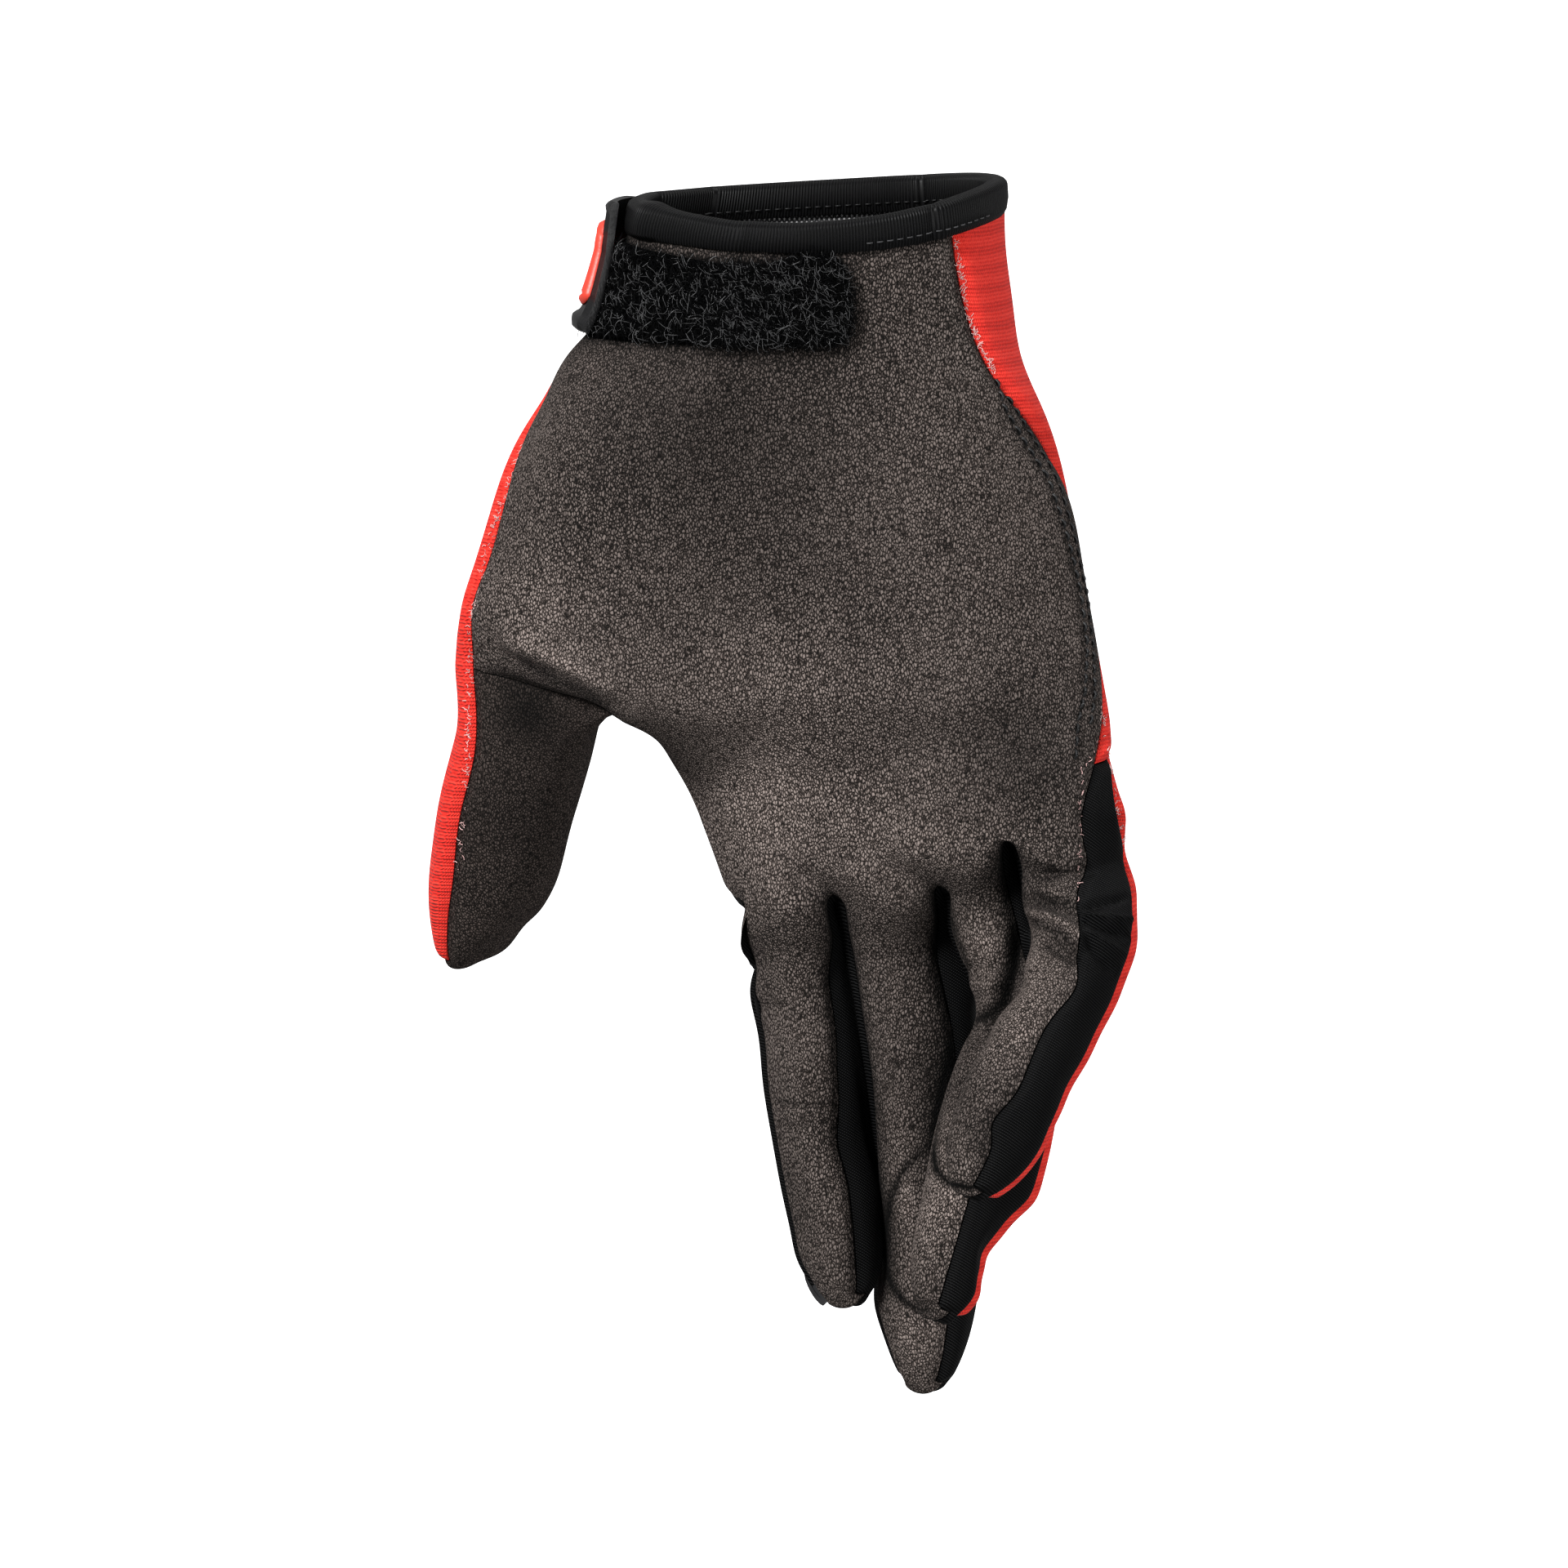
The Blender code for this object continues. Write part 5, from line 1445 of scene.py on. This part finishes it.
class Shade:
    """A material whose nodes are added one by one."""

    def __init__(self, name, roughness, specular, sheen=0.0, sheen_roughness=0.5):
        self.material = bpy.data.materials.new(name)
        self.material.use_nodes = True
        self.nodes = self.material.node_tree.nodes
        self.links = self.material.node_tree.links
        self.shader = self.nodes["Principled BSDF"]
        self.shader.inputs["Roughness"].default_value = roughness
        self.shader.inputs["Specular IOR Level"].default_value = specular
        self.shader.inputs["Sheen Weight"].default_value = sheen
        self.shader.inputs["Sheen Roughness"].default_value = sheen_roughness
        self.coordinates = self.nodes.new("ShaderNodeTexCoord")
        self.place = self.coordinates.outputs["Object"]

    def put(self, value, socket):
        """Give a socket a value, or link another node's output to it."""
        if isinstance(value, bpy.types.NodeSocket):
            self.links.new(value, socket)
        else:
            socket.default_value = value

    def node(self, kind, **inputs):
        """A new node. Each input is a number, a tuple or another node's output, and _ stands for a space."""
        node = self.nodes.new(f"ShaderNode{kind}")
        for name, value in inputs.items():
            self.put(value, node.inputs[name.replace("_", " ")])
        return node

    def math(self, operation, *values):
        node = self.nodes.new("ShaderNodeMath")
        node.operation = operation
        for value, socket in zip(values, node.inputs):
            self.put(value, socket)
        return node.outputs[0]

    def scaled(self, value, amount):
        return self.math("MULTIPLY", value, amount)

    def total(self, *values):
        result = values[0]
        for value in values[1:]:
            result = self.math("ADD", result, value)
        return result

    def centred(self, value, amount):
        """A noise value spread round zero."""
        return self.scaled(self.math("SUBTRACT", value, 0.5), amount)

    def wave(self, value, pitch):
        """A sine from 0 to 1 of a length, with a period of one pitch."""
        turns = self.scaled(value, 2.0 * math.pi / pitch)
        return self.math("MULTIPLY_ADD", self.math("SINE", turns), 0.5, 0.5)

    def axes(self):
        """The object's own coordinates, as three numbers."""
        return self.node("SeparateXYZ", Vector=self.place).outputs[:3]

    def turned(self, degrees, scale):
        """The object's coordinates turned about the depth axis and stretched."""
        rotation = (0.0, math.radians(degrees), 0.0)
        return self.node("Mapping", Vector=self.place, Rotation=rotation, Scale=scale).outputs[0]

    def noise(self, scale, detail, distortion=0.0, vector=None):
        node = self.node("TexNoise", Vector=vector or self.place, Scale=scale, Detail=detail,
                         Distortion=distortion)
        return node.outputs[0]

    def cells(self, scale, vector, bend_scale, bend):
        """Rounded cells, 0 on the cracks between them and about 1 in their middles."""
        noise = self.node("TexNoise", Vector=vector, Scale=bend_scale, Detail=1.0)
        shift = self.nodes.new("ShaderNodeVectorMath")
        shift.operation = "MULTIPLY_ADD"
        for value, socket in zip((noise.outputs["Color"], (bend, bend, bend), vector), shift.inputs):
            self.put(value, socket)
        voronoi = self.nodes.new("ShaderNodeTexVoronoi")
        voronoi.feature = "DISTANCE_TO_EDGE"
        voronoi.inputs["Scale"].default_value = scale
        self.links.new(shift.outputs[0], voronoi.inputs["Vector"])
        return self.math("MINIMUM", self.scaled(voronoi.outputs["Distance"], CELL_STEEPNESS), 1.0)

    def ramp(self, value, stops):
        node = self.node("ValToRGB", Fac=value)
        for _ in range(len(stops) - 2):
            node.color_ramp.elements.new(0.5)
        for element, (place, colour) in zip(node.color_ramp.elements, stops):
            element.position = place
            element.color = (*colour, 1.0)
        return node.outputs[0]

    def times(self, colour, value):
        """A colour made lighter or darker by a number round one."""
        node = self.nodes.new("ShaderNodeVectorMath")
        node.operation = "SCALE"
        self.links.new(colour, node.inputs[0])
        self.put(value, node.inputs["Scale"])
        return node.outputs[0]

    def painted_shade(self, colour):
        """Painted shade: a colour made darker where other cloth is close, as between the fingers and in the
        folds.
        """
        node = self.node("AmbientOcclusion", Distance=PAINTED_SHADE_REACH)
        node.samples = 8
        return self.times(colour, self.math("POWER", node.outputs["AO"], PAINTED_SHADE_POWER))

    def light_and_shade_patches(self):
        """Painted light and shade: 1, and more or less than that near each listed place."""
        total = 1.0
        for light_patch in rows_of(PAINTED_LIGHT_PATCH_COLUMNS, PAINTED_LIGHT_PATCHES):
            scale = 1.0 / (light_patch["radius"] * METRES_PER_PIXEL)
            x = CAMERA_TARGET.x + (light_patch["x"] - PHOTO_SIZE / 2.0) * METRES_PER_PIXEL
            z = CAMERA_TARGET.z - (light_patch["y"] - PHOTO_SIZE / 2.0) * METRES_PER_PIXEL
            away = self.node("Mapping", Vector=self.place, Location=(-x * scale, 0.0, -z * scale),
                             Scale=(scale, 0.0, scale))
            length = self.nodes.new("ShaderNodeVectorMath")
            length.operation = "LENGTH"
            self.links.new(away.outputs[0], length.inputs[0])
            square = self.math("POWER", length.outputs["Value"], 2.0)
            bell = self.math("EXPONENT", self.scaled(square, -1.0))
            total = self.total(self.scaled(bell, light_patch["change"]), total)
        return total

    def finish(self, colour, height, distance, strength):
        """The material, with its colour and its bumps."""
        self.links.new(colour, self.shader.inputs["Base Color"])
        bump = self.node("Bump", Height=height, Distance=distance, Strength=strength)
        self.links.new(bump.outputs[0], self.shader.inputs["Normal"])
        return self.material


def suede(name, dark, middle, light):
    """Brushed synthetic suede: short pale cells between dark cracks, drawn out to one side."""
    shade = Shade(name, 0.95, 0.12)
    stretched = shade.turned(28.0, (1.0, 1.0, 0.55))
    cells = shade.cells(2500.0, stretched, 1300.0, 0.00035)
    fine = shade.noise(5200.0, 1.0, 0.3, stretched)
    grain = shade.total(shade.scaled(cells, 0.55), shade.scaled(fine, 0.45))
    cloud = shade.centred(shade.noise(38.0, 2.0), 0.16)
    streak = shade.centred(shade.noise(170.0, 2.0, 0.4, stretched), 0.07)
    cloth = shade.ramp(shade.total(grain, cloud, streak), ((0.26, dark), (0.44, middle), (0.70, light)))
    # Painted shade and highlight along lines, read from the skin's points
    shade_and_highlight = shade.nodes.new("ShaderNodeAttribute")
    shade_and_highlight.attribute_name = "shade_and_highlight"
    # Painted light and shade: the patches round the palm times the painted lines
    painted_lighting = shade.math("MULTIPLY", shade.light_and_shade_patches(), shade_and_highlight.outputs["Fac"])
    # Painted shade where other cloth is close darkens the colour
    return shade.finish(shade.painted_shade(shade.times(cloth, painted_lighting)), grain, 0.0003, 0.8)


def red_knit():
    """Red stretch knit: fine rows across, with slanted stitches that turn about from row to row."""
    row_pitch = 0.00062
    stitch_pitch = 0.00045
    shade = Shade("red_knit", 0.80, 0.2, sheen=0.06, sheen_roughness=0.4)
    x, y, z = shade.axes()
    height = shade.total(z, shade.centred(shade.noise(90.0, 2.0), 0.0008))
    across = shade.total(x, shade.scaled(y, 0.8))
    row = shade.wave(height, row_pitch)
    turned = shade.centred(shade.wave(height, 2.0 * row_pitch), 0.0003)
    stitch = shade.wave(shade.total(across, turned), stitch_pitch)
    rib = shade.wave(height, 5.0 * row_pitch)
    fuzz = shade.centred(shade.noise(2600.0, 1.0), 0.6)
    cloud = shade.centred(shade.noise(60.0, 2.0), 0.25)
    level = shade.total(shade.scaled(row, 0.30), shade.scaled(stitch, 0.30), shade.scaled(rib, 0.22),
                        fuzz, cloud)
    cloth = shade.ramp(level, ((0.05, (0.42, 0.012, 0.008)), (0.45, (0.74, 0.026, 0.017)),
                               (0.95, (0.90, 0.065, 0.042))))
    return shade.finish(cloth, shade.total(row, shade.scaled(stitch, 0.7)), 0.0002, 0.7)


def black_stretch():
    """Black stretch fabric: a fine slanted twill."""
    twill_pitch = 0.00052
    yarn_pitch = 0.00046
    shade = Shade("black_stretch", 0.55, 0.06)
    x, y, z = shade.axes()
    across = shade.total(x, shade.scaled(y, 0.8))
    wander = shade.centred(shade.noise(90.0, 1.0), 0.0008)
    twill = shade.wave(shade.total(shade.scaled(across, 0.6), z, wander), twill_pitch)
    yarn = shade.wave(shade.math("SUBTRACT", across, z), yarn_pitch)
    weave = shade.math("MULTIPLY", twill, shade.math("MULTIPLY_ADD", yarn, 0.6, 0.5))
    cloth = shade.ramp(weave, ((0.15, (0.0003, 0.0003, 0.0004)), (0.95, (0.0115, 0.0115, 0.0119))))
    return shade.finish(cloth, weave, 0.00022, 0.9)


def ribbed_binding():
    """Elastic band: fine ribs across it."""
    rib_pitch = 0.00052
    shade = Shade("black_binding", 0.45, 0.10)
    along = shade.node("SeparateXYZ", Vector=shade.coordinates.outputs["UV"]).outputs[0]
    ribs = shade.wave(along, rib_pitch)
    level = shade.total(ribs, shade.centred(shade.noise(2500.0, 2.0), 0.5))
    cloth = shade.ramp(level, ((0.0, (0.0005, 0.0005, 0.0006)), (1.0, (0.0055, 0.0055, 0.0058))))
    return shade.finish(cloth, ribs, 0.00022, 0.8)


def mesh_lining():
    """Knitted lining: pale dots on a dark ground, which fade out below the cuff."""
    dot_pitch = 0.00085
    shade = Shade("dark_mesh", 0.80, 0.2)
    x, _, z = shade.axes()
    slant = shade.scaled(z, 0.7)
    first = shade.wave(shade.total(x, slant), dot_pitch)
    second = shade.wave(shade.math("SUBTRACT", x, slant), dot_pitch)
    near_cuff = shade.scaled(shade.total(z, LINING_SEEN), 1.0 / LINING_SEEN)
    dots = shade.math("MULTIPLY", first, second)
    dots = shade.math("MULTIPLY", dots, shade.math("MAXIMUM", near_cuff, 0.0))
    cloth = shade.ramp(dots, ((0.15, (0.020, 0.020, 0.021)), (0.70, (0.40, 0.395, 0.40))))
    return shade.finish(cloth, dots, 0.0002, 0.8)


def plain(name, colour, roughness, specular=0.3, grain=2200.0, depth=0.00006, spread=0.3):
    """A plain surface with a fine grain and slight changes of tone."""
    shade = Shade(name, roughness, specular)
    fine = shade.noise(grain, 3.0)
    level = shade.scaled(shade.total(fine, shade.noise(150.0, 2.0)), 0.5)
    dark = tuple(channel * (1.0 - spread) for channel in colour)
    light = tuple(channel * (1.0 + spread) for channel in colour)
    return shade.finish(shade.ramp(level, ((0.35, dark), (0.65, light))), fine, depth, 0.8)


def sweep():
    """A pale floor that rises in a curve behind the glove. It is seen, but lights and shades nothing."""
    points = []
    profile = [(-SWEEP_SIZE, FLOOR_Z)]
    for step in range(SWEEP_STEPS + 1):
        angle = math.pi / 2.0 * step / SWEEP_STEPS
        profile.append((SWEEP_BACK - SWEEP_RADIUS * (1.0 - math.sin(angle)),
                        FLOOR_Z + SWEEP_RADIUS * (1.0 - math.cos(angle))))
    profile.append((SWEEP_BACK, FLOOR_Z + SWEEP_SIZE))
    for y, z in profile:
        points += [(-SWEEP_SIZE, y, z), (SWEEP_SIZE, y, z)]
    faces = [(2 * index, 2 * index + 1, 2 * index + 3, 2 * index + 2) for index in range(len(profile) - 1)]
    mesh = bpy.data.meshes.new("sweep")
    mesh.from_pydata(points, [], faces)
    mesh.shade_smooth()
    paper = bpy.data.materials.new("paper")
    paper.use_nodes = True
    shader = paper.node_tree.nodes["Principled BSDF"]
    shader.inputs["Base Color"].default_value = (0.94, 0.94, 0.94, 1.0)
    shader.inputs["Roughness"].default_value = 0.95
    shader.inputs["Specular IOR Level"].default_value = 0.1
    shader.inputs["Emission Color"].default_value = (1.0, 1.0, 1.0, 1.0)
    shader.inputs["Emission Strength"].default_value = PAPER_GLOW
    mesh.materials.append(paper)
    floor = bpy.data.objects.new("sweep", mesh)
    bpy.context.collection.objects.link(floor)
    floor.visible_diffuse = False
    floor.visible_glossy = False
    floor.visible_shadow = False


def world():
    """A white surround that lights the glove softly, and that the camera sees as plain white."""
    surround = bpy.data.worlds.new("studio")
    surround.use_nodes = True
    tree = surround.node_tree
    background = tree.nodes["Background"]
    seen = tree.nodes.new("ShaderNodeBackground")
    path = tree.nodes.new("ShaderNodeLightPath")
    choice = tree.nodes.new("ShaderNodeMixShader")
    background.inputs["Strength"].default_value = WORLD_STRENGTH
    background.inputs["Color"].default_value = (1.0, 1.0, 1.0, 1.0)
    seen.inputs["Color"].default_value = (1.0, 1.0, 1.0, 1.0)
    tree.links.new(path.outputs["Is Camera Ray"], choice.inputs["Fac"])
    tree.links.new(background.outputs[0], choice.inputs[1])
    tree.links.new(seen.outputs[0], choice.inputs[2])
    tree.links.new(choice.outputs[0], tree.nodes["World Output"].inputs["Surface"])
    bpy.context.scene.world = surround


def place_at(name, data, place, target):
    """A lamp or a camera that looks from its place at a target."""
    item = bpy.data.objects.new(name, data)
    item.location = place
    item.rotation_euler = (target - place).to_track_quat("-Z", "Y").to_euler()
    bpy.context.collection.objects.link(item)
    return item


def studio():
    """A pale sweep under and behind the glove, soft lights, and the camera."""
    sweep()
    world()
    for light in rows_of(LIGHT_COLUMNS, LIGHTS):
        data = bpy.data.lights.new(light["name"], "AREA")
        data.size = light["size"]
        data.energy = light["power"]
        place_at(light["name"], data, Vector(light["place"]), LIGHT_TARGET)
    data = bpy.data.cameras.new("camera")
    data.lens = CAMERA_LENS
    data.sensor_width = CAMERA_SENSOR
    bpy.context.scene.camera = place_at("camera", data, CAMERA_PLACE, CAMERA_TARGET)
    bpy.context.scene.view_settings.view_transform = "Standard"


def main():
    studio()
    photo = Photo()
    cage = build_cage()
    points = fitted_cage(cage)
    skin = Skin(cage, points, SKIN_LEVEL, photo)

    cloths = {"palm_panel": (suede("suede", SUEDE_DARK, SUEDE_MIDDLE, SUEDE_LIGHT), "suede"),
              # The thumb's suede has darker colours as painted shade
              "thumb_panel": (suede("suede_thumb_shaded", SHADED_THUMB_DARK, SHADED_THUMB_MIDDLE, SHADED_THUMB_LIGHT), "suede"),
              "back_panel": (red_knit(), "red_knit")}
    stretch = (black_stretch(), "black_stretch")
    for panel in PANELS:
        panel_piece(skin, panel, *cloths.get(panel, stretch))

    liner = Skin(cage, points, LINER_LEVEL, photo)
    new_piece("cuff_lining", liner.points - liner.normals * LINER_DEPTH, liner.faces[:, ::-1].tolist(),
              mesh_lining(), ("cuff_lining",))

    wrist = Wrist(skin)
    cuff_binding(wrist, ribbed_binding())
    thread = plain("black_thread", (0.003, 0.003, 0.0034), 0.5, 0.4)
    binding_stitches(wrist, plain("grey_thread", (0.045, 0.045, 0.047), 0.6, 0.2), thread)
    closure_tab(wrist, plain("black_moulded", (0.004, 0.004, 0.0044), 0.38, 0.35, depth=0.00008))
    tab_patch(wrist, plain("red_rubber", (0.62, 0.045, 0.025), 0.42, 0.45, depth=0.00005, spread=0.1))
    loop_patch(wrist, plain("loop_backing", (0.0006, 0.0006, 0.0007), 0.95, 0.02, grain=900.0, depth=0.0004))
    fibre_materials = (plain("fibre_light", (0.085, 0.085, 0.087), 0.5, 0.25),
                       plain("fibre_dark", (0.0018, 0.0018, 0.0020), 0.8, 0.04))
    for fibres, material in zip(rows_of(FIBRE_COLUMNS, FIBRES), fibre_materials):
        loop_fuzz(wrist, fibres, material)

    tree = BVHTree.FromPolygons([tuple(point) for point in skin.points], skin.faces.tolist())
    for name, line in SIDE_STITCH_ROWS:
        places = spaced(on_skin(tree, photo, dense_line(line)), SIDE_STITCH_PITCH)
        stitches(name, places, SIDE_STITCH_SIZE, thread)
    pale = plain("pale_thread", (0.62, 0.40, 0.38), 0.7, 0.3)
    for name, line, count, seed in THREAD_LINES:
        places = spaced(on_skin(tree, photo, dense_line(line)), THREAD_PITCH)
        loose_threads(name, places, count, pale, seed)


main()
